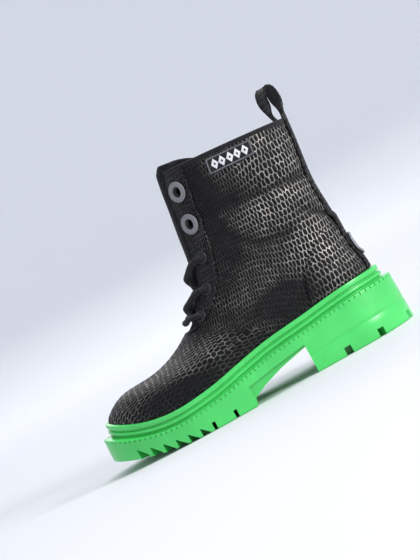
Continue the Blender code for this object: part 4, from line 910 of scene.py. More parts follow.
def capsuleTemplate(name):
    # a stitch: a short rounded rod along X, sunk at its ends
    shape = bmesh.new()
    rows = []
    half = ((-0.5, 0.35, -0.45), (-0.38, 0.85, -0.05), (0.0, 1.0, 0.12))
    for x, r, z in half + tuple((-x, r, z) for x, r, z in half[1::-1]):
        rows.append([shape.verts.new((x, 0.5 * r * math.cos(a), z + 0.5 * r * math.sin(a)))
                     for a in np.linspace(0, 2 * math.pi, 7)[:-1]])
    bridge(shape, rows)
    shape.faces.new(rows[0])
    shape.faces.new(rows[-1])
    return templateObject(name, shape)


stitchShape = capsuleTemplate("stitchShape")
plainBox = boxTemplate("plainBox")


def applied(obj):
    # the object's mesh with its modifiers in it
    bpy.context.view_layer.update()
    mesh = bpy.data.meshes.new_from_object(obj.evaluated_get(bpy.context.evaluated_depsgraph_get()))
    old = obj.data
    obj.modifiers.clear()
    obj.data = mesh
    bpy.data.meshes.remove(old)
    return mesh


def softened(corners, radius, steps=3, closed=False):
    # an outline with its corners rounded; an open one keeps its two ends
    points = [np.array(corner, float) for corner in corners]
    made = []
    for n, b in enumerate(points):
        if not closed and n in (0, len(points) - 1):
            made.append(b)
            continue
        a, c = points[n - 1], points[(n + 1) % len(points)]
        back, on = np.linalg.norm(a - b), np.linalg.norm(c - b)
        r = min(radius, back * 0.45, on * 0.45)
        p, q = b + (a - b) / back * r, b + (c - b) / on * r
        made += [p * (1 - t) ** 2 + 2 * b * t * (1 - t) + q * t ** 2 for t in np.linspace(0, 1, steps)]
    return np.array(made)


def buildSole():
    s = soleSizes
    columns = soleColumns
    count = len(columns)
    rim, wall = rimExtra(columns), wallExtra(columns)
    foot = s["upperBand"] + s["lowerBand"]
    # the top part hangs from the feather line; its extras are counted from the rim
    groove = s["bandGroove"]
    band = [(-0.0010, 0.0), (0.0, 0.0), (0.0002, s["upperBand"] - 0.0011),
            (0.0002 - groove, s["upperBand"] - 0.0006), (0.0002 - groove, s["upperBand"] + 0.0002),
            (0.0005, s["upperBand"] + 0.0007), (0.0006, foot - 0.0006), (0.0006 - groove, foot - 0.0002),
            (0.0006 - groove, foot + 0.0013)]
    rows = []

    def addRow(extra, drop):
        outline, station = soleOutline(np.broadcast_to(extra, count), columns)
        outline[:, 2] = featherHeight(station) - drop
        rows.append(outline)

    addRow(gap, cupDepth)
    addRow(gap, cupDepth * 0.5)
    addRow(gap, 0.0003)
    addRow(gap + 0.0003, 0.0)
    for extra, drop in softened(band, 0.0007)[1:]:
        addRow(rim + extra, drop)
    ledge = [(0.10, 0.0013), (0.55, 0.00135), (0.80, 0.0014), (0.93, 0.0016), (0.985, 0.0019), (1.0, 0.0024)]
    for share, drop in ledge:
        addRow(rim - 0.0002 + (wall - rim + 0.0002) * share, foot + drop)
    top = rows[-1].copy()
    flared, station = soleOutline(wall + s["flare"], columns)
    floor = treadHeight(station)
    heel = smooth((last["heelLength"] + 0.004 - station) / 0.004)
    line = {0.46: 0.0, 0.435: 0.0003, 0.415: 0.0003, 0.39: 0.0}  # a faint moulded line round the heel
    for share in (0.92, 0.8, 0.65, 0.5, 0.46, 0.435, 0.415, 0.39, 0.28, 0.15, 0.06):
        row = top * share + flared * (1 - share)
        row[:, 2] = top[:, 2] * share + (floor + s["chamfer"]) * (1 - share)
        inset, _ = soleOutline(-line.get(share, 0.0) * heel, columns)
        row[:, :2] += inset[:, :2] - soleOutline(0.0, columns)[0][:, :2]
        rows.append(row)
    for share in (0.0, 0.35, 0.7, 1.0):
        turn = share * math.pi / 2
        outline, _ = soleOutline(wall + s["flare"] - s["chamfer"] * (1 - math.cos(turn)), columns)
        outline[:, 2] = floor + s["chamfer"] * (1 - math.sin(turn))
        rows.append(outline)
    sole = linked("sole_work", stackMesh("sole_moulding", np.stack(rows)))
    under, steps = archCutters()
    # short notches along the ledge's inner edge, like a row of stitches
    run = 0.5 * (markAt(1, 1, 5) + markAt(1, -1, 5))
    number = int(run / s["ledgeNotchPitch"])
    at = np.concatenate([columnAt(np.linspace(0.002, markAt(1, 1, 5) - 0.002, number), 1.0, 1),
                         columnAt(np.linspace(0.004, markAt(1, -1, 5) - 0.004, number), 1.0, -1)])
    edge = wallExtra(at) - 0.0002
    inner, station = soleOutline(edge, at)
    ahead = soleOutline(edge, at + 0.05)[0] - soleOutline(edge, at - 0.05)[0]
    inner[:, 2] = featherHeight(station) - foot - 0.0022
    marks = repeated("ledgeNotches", plainBox, inner, np.tile((0.0, 0.0, 1.0), (len(at), 1)), ahead,
                     s["ledgeNotch"], "sole")
    notches = linked("ledgeNotches", marks)
    cutters = (steps, under, treadCutter(), notches)
    for cutter in cutters:
        modifier = sole.modifiers.new("cut", "BOOLEAN")
        modifier.operation = "DIFFERENCE"
        modifier.object = cutter
        modifier.use_self = cutter is not notches
    mesh = applied(sole).copy()
    for obj in (sole,) + cutters:
        bpy.data.objects.remove(obj)
    return finishMesh("sole_moulding", mesh, "sole", "sole_unit", sharp=34)


soleObject = buildSole()
print("sole made", len(soleObject.data.polygons))


# Footbed
def buildFootbed():
    columns = roundColumns(90)
    count = len(columns)
    rows = []
    thick = 0.0040
    for inset, drop in ((0.0, 0.0), (0.0, thick * 0.7), (0.0006, thick * 0.93), (0.0016, thick),
                        (0.0060, thick - 0.0004), (0.0120, thick - 0.0007)):
        outline, station = soleOutline(np.full(count, -last["wall"] - layerGap - inset), columns)
        outline[:, 2] = featherHeight(station) - cupDepth + gap + drop
        rows.append(outline)
    return finishMesh("footbed", stackMesh("footbed", np.stack(rows)), "footbed", "insole")


buildFootbed()

# Leather panels of the upper
skin = dict(thick=0.00147, relief=0.00018, seamLap=0.0050, vampLift=0.00030, tuck=0.00058)
liner = dict(outer=-0.00150, thick=0.00070)
# Where the vamp's back edge crosses each level: share of the length.
seamStations = (0.405, 0.425, 0.455, 0.510, 0.572)


def seamDistance(level, side):
    # distance from the front centre to the vamp's back edge
    rows = []
    for n, share in enumerate(seamStations):
        points, run = halves[side][n]
        rows.append(np.interp(heelCentre - last["length"] * share, -points[:, 0], run))
    rows[-1] = last["throatHalf"] + 0.0048
    return np.interp(level, np.arange(1, 6), rows)


def eyeletPlaces(side):
    levels = np.linspace(throatLevel, collarLevel, 60)
    line = form(columnAt(np.full(60, last["throatHalf"] + 0.0102), levels, side), levels)
    down = runAlong(line[::-1])
    found = []
    for n, distance in enumerate((0.0165, 0.0402, 0.0647, 0.0872, 0.1072)):
        level = float(np.interp(distance, down, levels[::-1]))
        column = float(columnAt(float(throatEdge(level)) + 0.0102, level, side))
        found.append((column, level, n < 2))
    return found


eyeletSpots = {side: eyeletPlaces(side) for side in (1, -1)}


holeReach = (0.0032, 0.0046)  # left free round a small and a large eyelet


def awayFromEyelets(points):
    # True for the grid cells that no eyelet hole takes
    middle = (points[:-1, :-1] + points[1:, :-1] + points[:-1, 1:] + points[1:, 1:]) / 4
    keep = np.ones(middle.shape[:2], bool)
    for side in (1, -1):
        for column, level, large in eyeletSpots[side]:
            centre, out = onForm(column, level).reshape(3), formNormal(column, level)[0]
            reach = middle - centre
            off = (reach * out).sum(-1)
            flat = np.linalg.norm(reach - off[..., None] * out, axis=-1)
            keep &= (flat > holeReach[large]) | (np.abs(off) > 0.008)
    return keep


def patchGrid(place, rows, columns):
    s, t = np.meshgrid(np.linspace(0, 1, columns), np.linspace(0, 1, rows))
    return place(s, t)


def panelMap(place, guess, turned=False, seed=0.0, coarse=(34, 44), size=(10, 10), reach=0.0007):
    # the flat cut of a panel, spread over its fine grid, with the net's drift in it
    column, level = patchGrid(place, *coarse)
    points = onForm(column, level)
    start = guess(points)
    shift = finer(flatten(points, start) - start, *size)
    column, level = patchGrid(place, *size)
    uv = guess(onForm(column, level)) + shift
    if turned:
        uv = uv[..., ::-1]
    uv = wander(uv, reach, seed)
    if guess is sideGuess:
        uv[..., 1] = 0.128 + (uv[..., 1] - 0.128) * (1 + 0.34 * smooth(uv[..., 0] / 0.060))
        uv[..., 0] = gathered(uv[..., 0], 0.004, 0.034, 0.42)
    return uv


def runOver(points, axis):
    # the length run up to each point of a grid, along one of its two directions
    steps = np.linalg.norm(np.diff(points, axis=axis), axis=-1)
    return np.insert(np.cumsum(steps, axis=axis), 0, 0.0, axis=axis)


def sideGuess(points):
    # lengths round the leg on one hand, height on the other
    run = runOver(points[..., :2], 1)
    middle = (points.shape[1] - 1) / 2
    low, part = int(middle), middle - int(middle)
    sign = -1 if points[-1, 0, 0] > points[-1, -1, 0] else 1
    beside = min(low + 1, run.shape[1] - 1)
    start = run[:, low] * (1 - part) + run[:, beside] * part
    x = points[:, low, 0] * (1 - part) + points[:, beside, 0] * part
    return np.stack([x[:, None] + sign * (run - start[:, None]), points[..., 2]], axis=-1)


def topGuess(points):
    # the toe opened out like a fan from the throat
    top, foot = points[-1, :, :2], points[0, :, :2]
    way = (foot - top) / np.linalg.norm(foot - top, axis=1)[:, None]
    steps = np.linalg.norm(np.diff(points, axis=0), axis=-1)
    down = np.concatenate([np.cumsum(steps[::-1], axis=0)[::-1], np.zeros((1, points.shape[1]))], axis=0)
    return top[None] + way[None] * down[..., None]


def roundGuess(points):
    # lengths along the rows and up the columns
    u, v = runOver(points, 1), runOver(points, 0)
    u = u - u[:, u.shape[1] // 2][:, None]
    return np.stack([u, v], axis=-1)


def seamWidth(s, level):
    # the vamp's half width, on the side on which s lies
    return np.where(s >= 0, seamDistance(level, 1), seamDistance(level, -1))


def buildVamp():
    columns, rows = 300, 118

    def place(s, t):
        level = 5.0 * t ** 0.92
        return signedColumn((2 * s - 1) * seamWidth(2 * s - 1, level), level), level

    column, level = patchGrid(place, rows, columns)
    uv = panelMap(place, topGuess, turned=True, seed=0.4, coarse=(30, 61), size=(rows, columns))
    s = np.linspace(-1, 1, columns)[None, :]
    toEdge = (1 - np.abs(s)) * seamWidth(s, level)
    lift = skin["vampLift"] * (1 - smooth(toEdge / 0.012))
    edge = np.clip(toEdge / 0.0009, 0, 1)
    lift = lift - 0.00025 * (1 - edge) ** 2
    offset = lift + relief(uv, vampLook["cell"], skin["relief"]) * smooth(toEdge / 0.002)
    outer = onForm(column, level, offset)
    under = np.where(toEdge < skin["seamLap"] + 0.001, -0.00050, -skin["thick"])
    inner = onForm(column, level, under)
    mesh = wallMesh("vamp", outer, inner, uv)
    return finishMesh("vamp", mesh, "vamp lining", "upper")


def quarterStart(level, side):
    seam = seamDistance(level, side) - skin["seamLap"]
    edge = throatEdge(level)
    return np.where(level < 4.7, seam, seam + (edge - seam) * smooth((level - 4.7) / 0.3))


def buildQuarter(name, side, parts, marks, seed):
    # the columns are shared out so that on the inner side two of them run along the zip's slit
    rows, total = 150, sum(parts)
    stops = np.cumsum((0,) + parts)

    def spread(s, t):
        level = 9.0 * t
        at = s * total
        edges = [quarterStart(level, side)] + [markAt(level, side, m) for m in marks]
        spans = zip(edges, edges[1:], stops, parts)
        pieces = [low + (high - low) * (at - first) / part for low, high, first, part in spans]
        return np.select([at <= stop for stop in stops[1:]], pieces), level

    def place(s, t):
        distance, level = spread(s, t)
        return columnAt(distance, level, side), level

    distance, level = patchGrid(spread, rows, total + 1)
    column = columnAt(distance, level, side)
    uv = panelMap(place, sideGuess, seed=seed, coarse=(40, 50), size=(rows, total + 1))
    fromSeam = distance - quarterStart(level, side) - skin["seamLap"]
    tuck = skin["tuck"] * (1 - smooth((fromSeam + 0.0006) / 0.0016)) * smooth((5.05 - level) / 0.1)
    offsets = relief(uv, leatherLook["cell"], skin["relief"]) - tuck  # tucked in under the vamp's edge
    outer, inner = onForm(column, level, offsets), onForm(column, level, -skin["thick"])
    if side < 0:  # the inner side runs the other way round
        outer, inner, uv, column, level = (grid[:, ::-1] for grid in (outer, inner, uv, column, level))
    keep = awayFromEyelets(outer)
    middle = (column[:-1, :-1] + column[:-1, 1:]) / 2
    keep &= ~((middle < -14.01) & (middle > -15.99) & (level[:-1, :-1] >= zipBottom))
    mesh = wallMesh(name, outer, inner, uv, keep=keep)
    return finishMesh(name, mesh, "quarter lining", "upper")


def stepped(stops, counts):
    # evenly spread values from stop to stop, with each stop once
    spans = enumerate(zip(stops, stops[1:], counts))
    return np.concatenate([np.linspace(a, b, count)[n > 0:] for n, (a, b, count) in spans])


def buildLining():
    # the sock inside: open at collar, throat and zip
    levels = stepped((0, zipBottom, throatLevel, collarLevel), (20, 34, 46))
    side = stepped((0, 3, 14, 16, 24), (10, 45, 6, 40))
    columns = np.concatenate([side, -side[::-1][1:-1]])
    column, level = np.meshgrid(columns, levels)
    outer = onForm(column, level, liner["outer"])
    inner = onForm(column, level, liner["outer"] - liner["thick"])
    wide = np.abs(column)
    uv = np.stack([wide * 0.0075, level * 0.0165], axis=-1)
    middle = np.abs(columns + np.roll(columns, -1)) / 2
    middle[len(side) - 1] = 23.9
    low = levels[:-1, None]
    keep = ~((middle[None, :] < 3) & (low >= throatLevel - 1e-6))
    slit = (np.arange(len(columns)) >= len(side) - 1) & (middle > 14) & (middle < 16)
    keep &= ~(slit[None, :] & (low >= zipBottom - 1e-6))
    closed = np.concatenate([outer, outer[:, :1]], axis=1)
    keep &= awayFromEyelets(closed)
    mesh = wallMesh("lining_sock", outer, inner, uv, closed=True, keep=keep, innerKind=0)
    return finishMesh("lining_sock", mesh, "lining", "upper")


for made in (buildVamp(), buildQuarter("quarter_outer", 1, (204,), (5,), 0.0),
             buildQuarter("quarter_inner", -1, (118, 9, 84), (2, 3, 5), 2.2), buildLining()):
    print("panel", made.name, len(made.data.polygons))


def ribbonMesh(name, path, section):
    # a closed section swept along a path of (centre, across, up) frames
    centre, across, up = path
    section = np.array(section, float)
    points = centre[:, None] + across[:, None] * section[None, :, :1] + up[:, None] * section[None, :, 1:]
    return tubeMesh(name, points, mapOf(runAlong(section), runAlong(centre)))


def joinedMesh(name, meshes):
    shape = bmesh.new()
    for mesh in meshes:
        shape.from_mesh(mesh)
    made = bpy.data.meshes.new(name)
    shape.to_mesh(made)
    shape.free()
    return made


bindingSizes = dict(outside=0.00034, inside=-0.00262, down=0.0030, over=0.00045)


def buildBinding():
    # soft edge binding over the collar, in two runs, either side of the zip
    b = bindingSizes
    top = collarLevel
    drop = b["down"] / 0.0262  # share of a level
    out, into = b["outside"], b["inside"]
    middle, half = (out + into) / 2, (out - into) / 2
    sections = [(out - 0.0002, top - drop), (out, top - drop * 0.8), (out, top - 0.02)]
    for a in np.linspace(0, math.pi, 7):
        sections.append((middle + half * math.cos(a), top + b["over"] / last["upperHeight"] * math.sin(a)))
    sections += [(into, top - 0.02), (into, top - drop * 0.8), (into + 0.0002, top - drop),
                 (into + 0.0003, top - drop), (out - 0.0003, top - drop)]
    runs = []
    outer = columnAt(np.linspace(float(throatEdge(9)), markAt(9, 1, 5), 110), 9.0, 1)
    back = columnAt(np.linspace(markAt(9, -1, 5), markAt(9, -1, 3), 50)[1:], 9.0, -1)
    front = columnAt(np.linspace(markAt(9, -1, 2), float(throatEdge(9)), 46), 9.0, -1)
    for line in (np.concatenate([outer, back]), front):
        points = np.stack([onForm(line, level, offset) for offset, level in sections], axis=1)
        girth = np.linspace(0, 0.009, points.shape[1])
        runs.append(tubeMesh("binding", points, mapOf(girth, runAlong(points[:, 4]))))
    return finishMesh("collar_binding", joinedMesh("collar_binding", runs), "binding", "upper")


buildBinding()


# Panels laid on the upper
def pillow(toEdge, soft):
    # a panel's edge falls away softly
    return np.sqrt(np.clip(1 - (1 - np.clip(toEdge / soft, 0, 1)) ** 2, 0, 1))


facingSizes = dict(width=0.0185, length=0.122, thick=0.0011, foot=4.90, top=8.93, inset=0.0006)


def facingEdges(level):
    f = facingSizes
    edge = throatEdge(level) + f["inset"]
    sweep = np.sqrt(np.clip(1 - (1 - np.clip((level - f["foot"]) / 0.7, 0, 1)) ** 2, 0, 1))
    return edge, edge + f["width"] * (0.30 + 0.70 * sweep)


def buildFacing(name, side, stands):
    f = facingSizes
    rows, columns = 158, 26

    def place(s, t):
        level = f["foot"] + (f["top"] - f["foot"]) * t
        low, high = facingEdges(level)
        return columnAt(low + (high - low) * s, level, side), level

    column, level = patchGrid(place, rows, columns)
    uv = panelMap(place, sideGuess, seed=1.1 * side, coarse=(40, 9), size=(rows, columns), reach=0.0005)
    low, high = facingEdges(level)
    s = np.linspace(0, 1, columns)[None, :]
    t = np.linspace(0, 1, rows)[:, None]
    toEdge = np.minimum(np.minimum(s, 1 - s) * (high - low), np.minimum(t, 1 - t) * f["length"])
    thick = f["thick"] * (0.45 + 0.55 * pillow(toEdge, 0.0012))
    rise = relief(uv, facingLook["cell"], 0.00014) * smooth(toEdge / 0.0016)
    outer = onForm(column, level, layerGap * 0.6 + thick + rise)
    inner = onForm(column, level, layerGap * 0.35)
    keep = awayFromEyelets(outer)
    if side < 0:
        outer, inner, uv, keep = outer[:, ::-1], inner[:, ::-1], uv[:, ::-1], keep[:, ::-1]
    mesh = wallMesh(name, outer, inner, uv, keep=keep, innerKind=0, printAndSheen=0.36)
    return finishMesh(name, mesh, "facing", stands)


buildFacing("eyestay_outer", 1, "facing_outer")
buildFacing("eyestay_inner", -1, "facing_inner")

counterSizes = dict(height=0.042, reach=0.062, thick=0.0007, power=2.6)


def counterTop(share):
    power = counterSizes["power"]
    return counterSizes["height"] * (1 - np.abs(share) ** power) ** (1 / power)


def buildCounter():
    rows, columns = 54, 156
    c = counterSizes

    def places(rows, columns):
        reach = np.sin(np.linspace(1, -1, columns) * math.pi / 2)
        column = np.array(backColumn(reach * c["reach"], 1.5))
        column[np.abs(reach) < 1e-9] = 24
        top = np.maximum(counterTop(reach), 0.0022)
        t = np.linspace(0, 1, rows)[:, None]
        rise = 0.0006 + (top[None, :] - 0.0006) * t
        level = np.stack([levelAtHeight(column, row) for row in rise])
        return np.broadcast_to(column, level.shape), level, np.broadcast_to(reach, level.shape), rise, top

    column, level, reach, rise, top = places(18, 41)
    points = onForm(column, level)
    uv = wander(finer(flatten(points, roundGuess(points)), rows, columns), 0.0006, 3.1)
    column, level, reach, rise, top = places(rows, columns)
    toEdge = np.minimum(top[None, :] - rise, (1 - np.abs(reach)) * c["reach"] * 1.6)
    thick = c["thick"] * (0.4 + 0.6 * pillow(toEdge, 0.0010))
    bumps = relief(uv, leatherLook["cell"], skin["relief"]) * smooth(toEdge / 0.0015)
    outer = onForm(column, level, counterGap + thick + bumps)
    inner = onForm(column, level, counterGap * 0.4)
    mesh = wallMesh("counter_panel", outer, inner, uv, innerKind=0)
    return finishMesh("counter_panel", mesh, "quarter", "heel_counter")


buildCounter()

stripSizes = dict(width=0.022, thick=0.0011, loopHeight=0.0250, loopDepth=0.0095, waist=0.10,
                  turn=math.radians(21), narrow=0.10, slim=0.80)
loopLine = ((0.0, 0.0), (-0.04, 0.25), (-0.06, 0.55), (0.04, 0.86), (0.38, 1.0), (0.82, 0.97), (1.08, 0.72),
            (0.96, 0.42), (0.66, 0.12), (0.50, 0.0))
counterLevel = float(levelAtHeight(24.0, counterSizes["height"])[0])


def stripOffset(level):
    over = 1 - smooth((level - counterLevel - 0.06) / 0.2)
    return layerGap + (counterGap + counterSizes["thick"] + 1.6 * gap - layerGap) * over


def buildStrip():
    # up the back, over in a loop and down inside the collar
    s = stripSizes
    across = np.linspace(1, -1, 27)
    half = s["width"] / 2
    levels = np.concatenate([np.linspace(float(levelAtHeight(24.0, 0.0008)[0]), counterLevel + 0.05, 40),
                             np.linspace(counterLevel + 0.08, collarLevel, 90)])
    level, side = np.meshgrid(levels, across, indexing="ij")
    outside = onForm(backColumn(side * half, level), level, stripOffset(level))
    collar = outside[-1]
    bow = collar[13, 0] - collar[:, 0]
    line = splineThrough(loopLine, np.arange(len(loopLine), dtype=float), 66)
    loop = []
    for forward, up in line[1:-1]:
        fade = 1 - 0.75 * smooth(up * 2.2)
        row = np.empty_like(collar)
        slim = 1 - (1 - s["slim"]) * float(smooth(up * 1.6))
        row[:, 0] = collar[13, 0] + forward * slim * s["loopDepth"] - bow * fade
        row[:, 1] = collar[:, 1] * (1 + 0.02 * fade)
        row[:, 2] = collar[13, 2] + up * s["loopHeight"]
        ends = min(1.0, len(loop) / 6, (64 - len(loop)) / 6)
        waist = 1 - s["waist"] * math.exp(-((up - 0.12) / 0.22) ** 2) * ends
        turn = s["turn"] * float(smooth((up - 0.05) / 0.6))
        middle, wide = collar[13, 0] + 0.0036, row[:, 1] * waist * (1 - s["narrow"] * float(smooth(up * 1.5)))
        x = row[:, 0] - middle
        row[:, 0] = middle + x * math.cos(turn) - wide * math.sin(turn)
        row[:, 1] = x * math.sin(turn) + wide * math.cos(turn)
        loop.append(row)
    inside = -(last["wall"] + layerGap + s["thick"] + 0.0003)
    down = np.linspace(collarLevel, 8.3, 16)
    level, side = np.meshgrid(down, across, indexing="ij")
    tail = onForm(backColumn(side * half, level), level, inside)
    grid = np.concatenate([outside, np.stack(loop), tail])
    along = np.gradient(grid, axis=0)
    wide = np.gradient(grid, axis=1)
    normal = np.cross(wide, along)
    normal /= np.linalg.norm(normal, axis=-1)[..., None]
    run = runAlong(grid[:, 13])
    uv = wander(mapOf(across * half, run), 0.0004, 4.0)
    fromEnd = np.minimum(run, run[-1] - run)[:, None] + 0.0003
    toEdge = np.minimum((1 - np.abs(across))[None, :] * half, fromEnd)
    thick = s["thick"] * (0.45 + 0.55 * pillow(toEdge, 0.0011))
    rise = relief(uv, stripLook["cell"], 0.00013) * smooth(toEdge / 0.0016)
    outer = grid + normal * (thick + rise)[..., None]
    mesh = wallMesh("back_strip", outer, grid, uv, innerKind=1, printAndSheen=0.24)
    finishMesh("back_strip", mesh, "strip binding", "back_strip_pull_loop")
    return grid, normal


stripGrid, stripNormal = buildStrip()
print("laid-on panels made")


# Tongue, padded by a short cloth run
tongueSizes = dict(thick=0.0028, overlap=0.0125, spread=0.0150, bulge=0.0040, top=0.0060, barrel=0.0004,
                   swell=0.0016, pressure=4.0, mostMove=0.0009)


def coordinates(mesh):
    found = np.zeros(len(mesh.vertices) * 3, np.float32)
    mesh.vertices.foreach_get("co", found)
    return found.reshape(-1, 3)


def tongueOffset(reach, level):
    inside = np.clip(level, 0, collarLevel)
    edge = throatEdge(inside)
    middle = smooth((edge - reach) / edge * 1.15) * smooth((level - throatLevel) / 0.5)
    lean = 0.0028 * np.clip((level - collarLevel) * last["upperHeight"] / tongueSizes["top"], 0, 1)
    return -(last["wall"] + tongueSizes["barrel"] + 2.6 * gap) - lean \
        + middle * (0.0018 + tongueSizes["bulge"] * smooth((level - 5.6) / 3.2)
                    + tongueSizes["swell"] * smooth((level - 5.0) / 0.5) * (1 - smooth((level - 7.0) / 1.2)))


def buildTongue():
    g = tongueSizes
    rows, columns = 74, 41
    shares = np.linspace(-1, 1, columns)
    t = np.linspace(0, 1, rows)
    climb = np.clip((t - 0.93) / 0.07, 0, 1)
    base = np.minimum(4.72 + (collarLevel - 4.72) * t / 0.93, collarLevel)
    width = throatEdge(base) + g["overlap"] + g["spread"] * smooth((base - 6.2) / 2.8)
    width *= 1 - 0.35 * smooth((throatLevel + 0.3 - base) / 0.6)
    reach = np.abs(shares)[None, :] * width[:, None]
    top = g["top"] / last["upperHeight"] * (1 - 0.9 * np.abs(shares)[None, :] ** 3) * climb[:, None]
    level = base[:, None] + top
    column = signedColumn(shares[None, :] * width[:, None], np.broadcast_to(base[:, None], level.shape))
    outer = onForm(column, level, tongueOffset(reach, level))
    toEdge = np.minimum((1 - np.abs(shares))[None, :] * width[:, None], ((1 - t) * 0.125)[:, None])
    thick = g["thick"] * (0.35 + 0.65 * pillow(toEdge, 0.0035))
    inner = onForm(column, level, tongueOffset(reach, level) - thick)
    outer = onForm(column, level, tongueOffset(reach, level) - (g["thick"] - thick) * 0.25)
    run = runAlong(outer[:, 20])
    uv = np.stack([shares[None, :] * width[:, None], np.broadcast_to(run[:, None], level.shape)], axis=-1)
    uv = wander(uv, 0.0005, 5.0)
    mesh = wallMesh("tongue_padded", outer, inner, uv, innerKind=1)
    made = finishMesh("tongue_padded", mesh, "tongue lining", "tongue")
    before = coordinates(mesh)
    # held round its border and along the two sewn channels
    hold = made.vertex_groups.new(name="held")
    edgeShare = np.concatenate([toEdge.ravel()] * 2)
    channel = np.abs(np.abs(np.concatenate([np.broadcast_to(shares, level.shape).ravel()] * 2)) - 0.33)
    for n, (near, line) in enumerate(zip(edgeShare, channel)):
        if near < 0.0022 or line < 0.02:
            hold.add([n], 1.0, "REPLACE")
    cloth = made.modifiers.new("pad", "CLOTH")
    cloth.settings.vertex_group_mass = "held"
    cloth.settings.use_pressure = True
    cloth.settings.uniform_pressure_force = g["pressure"]
    cloth.settings.effector_weights.gravity = 0
    cloth.settings.quality = 5
    cloth.collision_settings.use_collision = False
    scene = bpy.context.scene
    for step in range(1, 13):
        scene.frame_set(step)
    bpy.context.view_layer.update()
    result = made.evaluated_get(bpy.context.evaluated_depsgraph_get()).data
    move = coordinates(result) - before
    size = np.linalg.norm(move, axis=1)[:, None]
    move *= np.minimum(1.0, g["mostMove"] / np.maximum(size, 1e-9))
    made.modifiers.clear()
    made.vertex_groups.clear()
    scene.frame_set(1)
    made.data.vertices.foreach_set("co", (before + move).ravel())
    made.data.update()
    print("tongue padded, moved at most", round(float(size.max()) * 1000, 2), "mm before the cap")
    smoothing = made.modifiers.new("finer", "SUBSURF")
    smoothing.levels = smoothing.render_levels = 1
    smoothing.uv_smooth = "PRESERVE_BOUNDARIES"
    applied(made)


buildTongue()
print("tongue made")


# Eyelets
def formFrame(column, level, offset, upright=False):
    place = Vector(onForm(column, level, offset).reshape(3))
    out = Vector(formNormal(column, level)[0])
    up = Vector((form(column, level + 0.05) - form(column, level - 0.05))[0])
    if upright:
        up = Vector((0, 0, 1))
    out = (out - up * (out @ up) / (up @ up)).normalized()
    up.normalize()
    turn = Matrix((up.cross(out), up, out)).transposed().to_4x4()
    return Matrix.Translation(place) @ turn


def lathe(name, profile, place, steps=40):
    profile = np.array(profile, float)
    angle = np.linspace(0, 2 * math.pi, steps, endpoint=False)
    count = len(profile)
    points = np.stack([np.outer(np.cos(angle), profile[:, 0]), np.outer(np.sin(angle), profile[:, 0]),
                       np.broadcast_to(profile[:, 1], (steps, count))], axis=-1)
    turn = np.array(place)
    return ringMesh(name, points @ turn[:3, :3].T + turn[:3, 3])


eyeletSizes = dict(topHole=0.0037, topRing=0.0074, lowHole=0.0024, lowRing=0.0045, thick=0.0009,
                   barrel=0.0004)


def buildEyelet(name, column, level, large, stands):
    e = eyeletSizes
    hole, ring = (e["topHole"], e["topRing"]) if large else (e["lowHole"], e["lowRing"])
    seat = layerGap + facingSizes["thick"] + gap * 0.2
    foot = -(last["wall"] + gap)
    top = seat + e["thick"]
    wide = ring - hole
    roll = min(0.0007, wide * 0.35)
    profile = [
        (ring - 0.0003, seat - 0.0002), (ring, seat + 0.0002), (ring - 0.0001, seat + 0.00055),
        (ring - 0.0006, top - 0.00005), (ring - wide * 0.42, top - 0.0001),
        (hole + roll * 1.9, top - 0.00022), (hole + roll * 1.25, top + 0.00005),
        (hole + roll * 0.6, top + 0.00012), (hole + roll * 0.1, top - 0.00012),
        (hole, top - 0.0006), (hole, foot + 0.0003), (hole + 0.0003, foot - 0.0001),
        (hole + 0.0010, foot - 0.00005), (hole + 0.0012, foot + 0.00018),
        (hole + e["barrel"], foot + 0.00022), (hole + e["barrel"], seat - 0.0002)]
    mesh = lathe(name, profile, formFrame(column, level, 0.0), 48 if large else 36)
    word = "grey" if large else "black"
    return finishMesh(name, mesh, word, stands, sharp=50)


for side, word in ((1, "outer"), (-1, "inner")):
    for n, (column, level, large) in enumerate(eyeletSpots[side], 1):
        buildEyelet(f"ring_{word}_{n}", column, level, large, f"eyelet_{word}_{n}")
print("eyelets made")


# Laces, held at both ends inside the boot
laceSizes = dict(diameter=0.0043, plait=8, twist=0.0052, raised=0.00022, around=32)


over = layerGap + facingSizes["thick"] + eyeletSizes["thick"] + laceSizes["diameter"] / 2 + gap
crest = laceSizes["diameter"] / 2 + 0.0002


def smoothLine(stops, count):
    route = np.array(stops, float)
    return splineThrough(route, runAlong(route), count)


def braidMesh(name, line):
    # a round cord with its plaited strands standing up
    z = laceSizes
    tangent = np.gradient(line, axis=0)
    tangent /= np.linalg.norm(tangent, axis=1)[:, None]
    side = np.cross(tangent[0], (0, 0, 1.0))
    side /= np.linalg.norm(side)
    sides = []
    for t in tangent:  # carried along without twist
        side = side - t * (side @ t)
        side /= np.linalg.norm(side)
        sides.append(side)
    sides = np.array(sides)
    ups = np.cross(tangent, sides)
    run = runAlong(line)
    angle = np.linspace(0, 2 * math.pi, z["around"], endpoint=False)
    a = z["plait"] / 2 * angle[None, :] + run[:, None] * math.pi * 2 / z["twist"] * 2
    b = z["plait"] / 2 * angle[None, :] - run[:, None] * math.pi * 2 / z["twist"] * 2
    weave = np.maximum(np.abs(np.sin(a)) * (np.sin(b) > 0), np.abs(np.sin(b)) * (np.sin(a) <= 0))
    radius = z["diameter"] / 2 - z["raised"] + z["raised"] * 1.25 * weave
    radius[:2] *= np.array([0.6, 0.9])[:, None]
    radius[-2:] *= np.array([0.9, 0.6])[:, None]
    around = np.cos(angle)[None, :, None] * sides[:, None] + np.sin(angle)[None, :, None] * ups[:, None]
    points = line[:, None] + radius[..., None] * around
    return tubeMesh(name, points, mapOf(angle * z["diameter"] / 2, run))


def laceStop(side, distance, level, offset):
    return onForm(columnAt(distance, level, side) if distance else 0.0, level, offset).reshape(3)


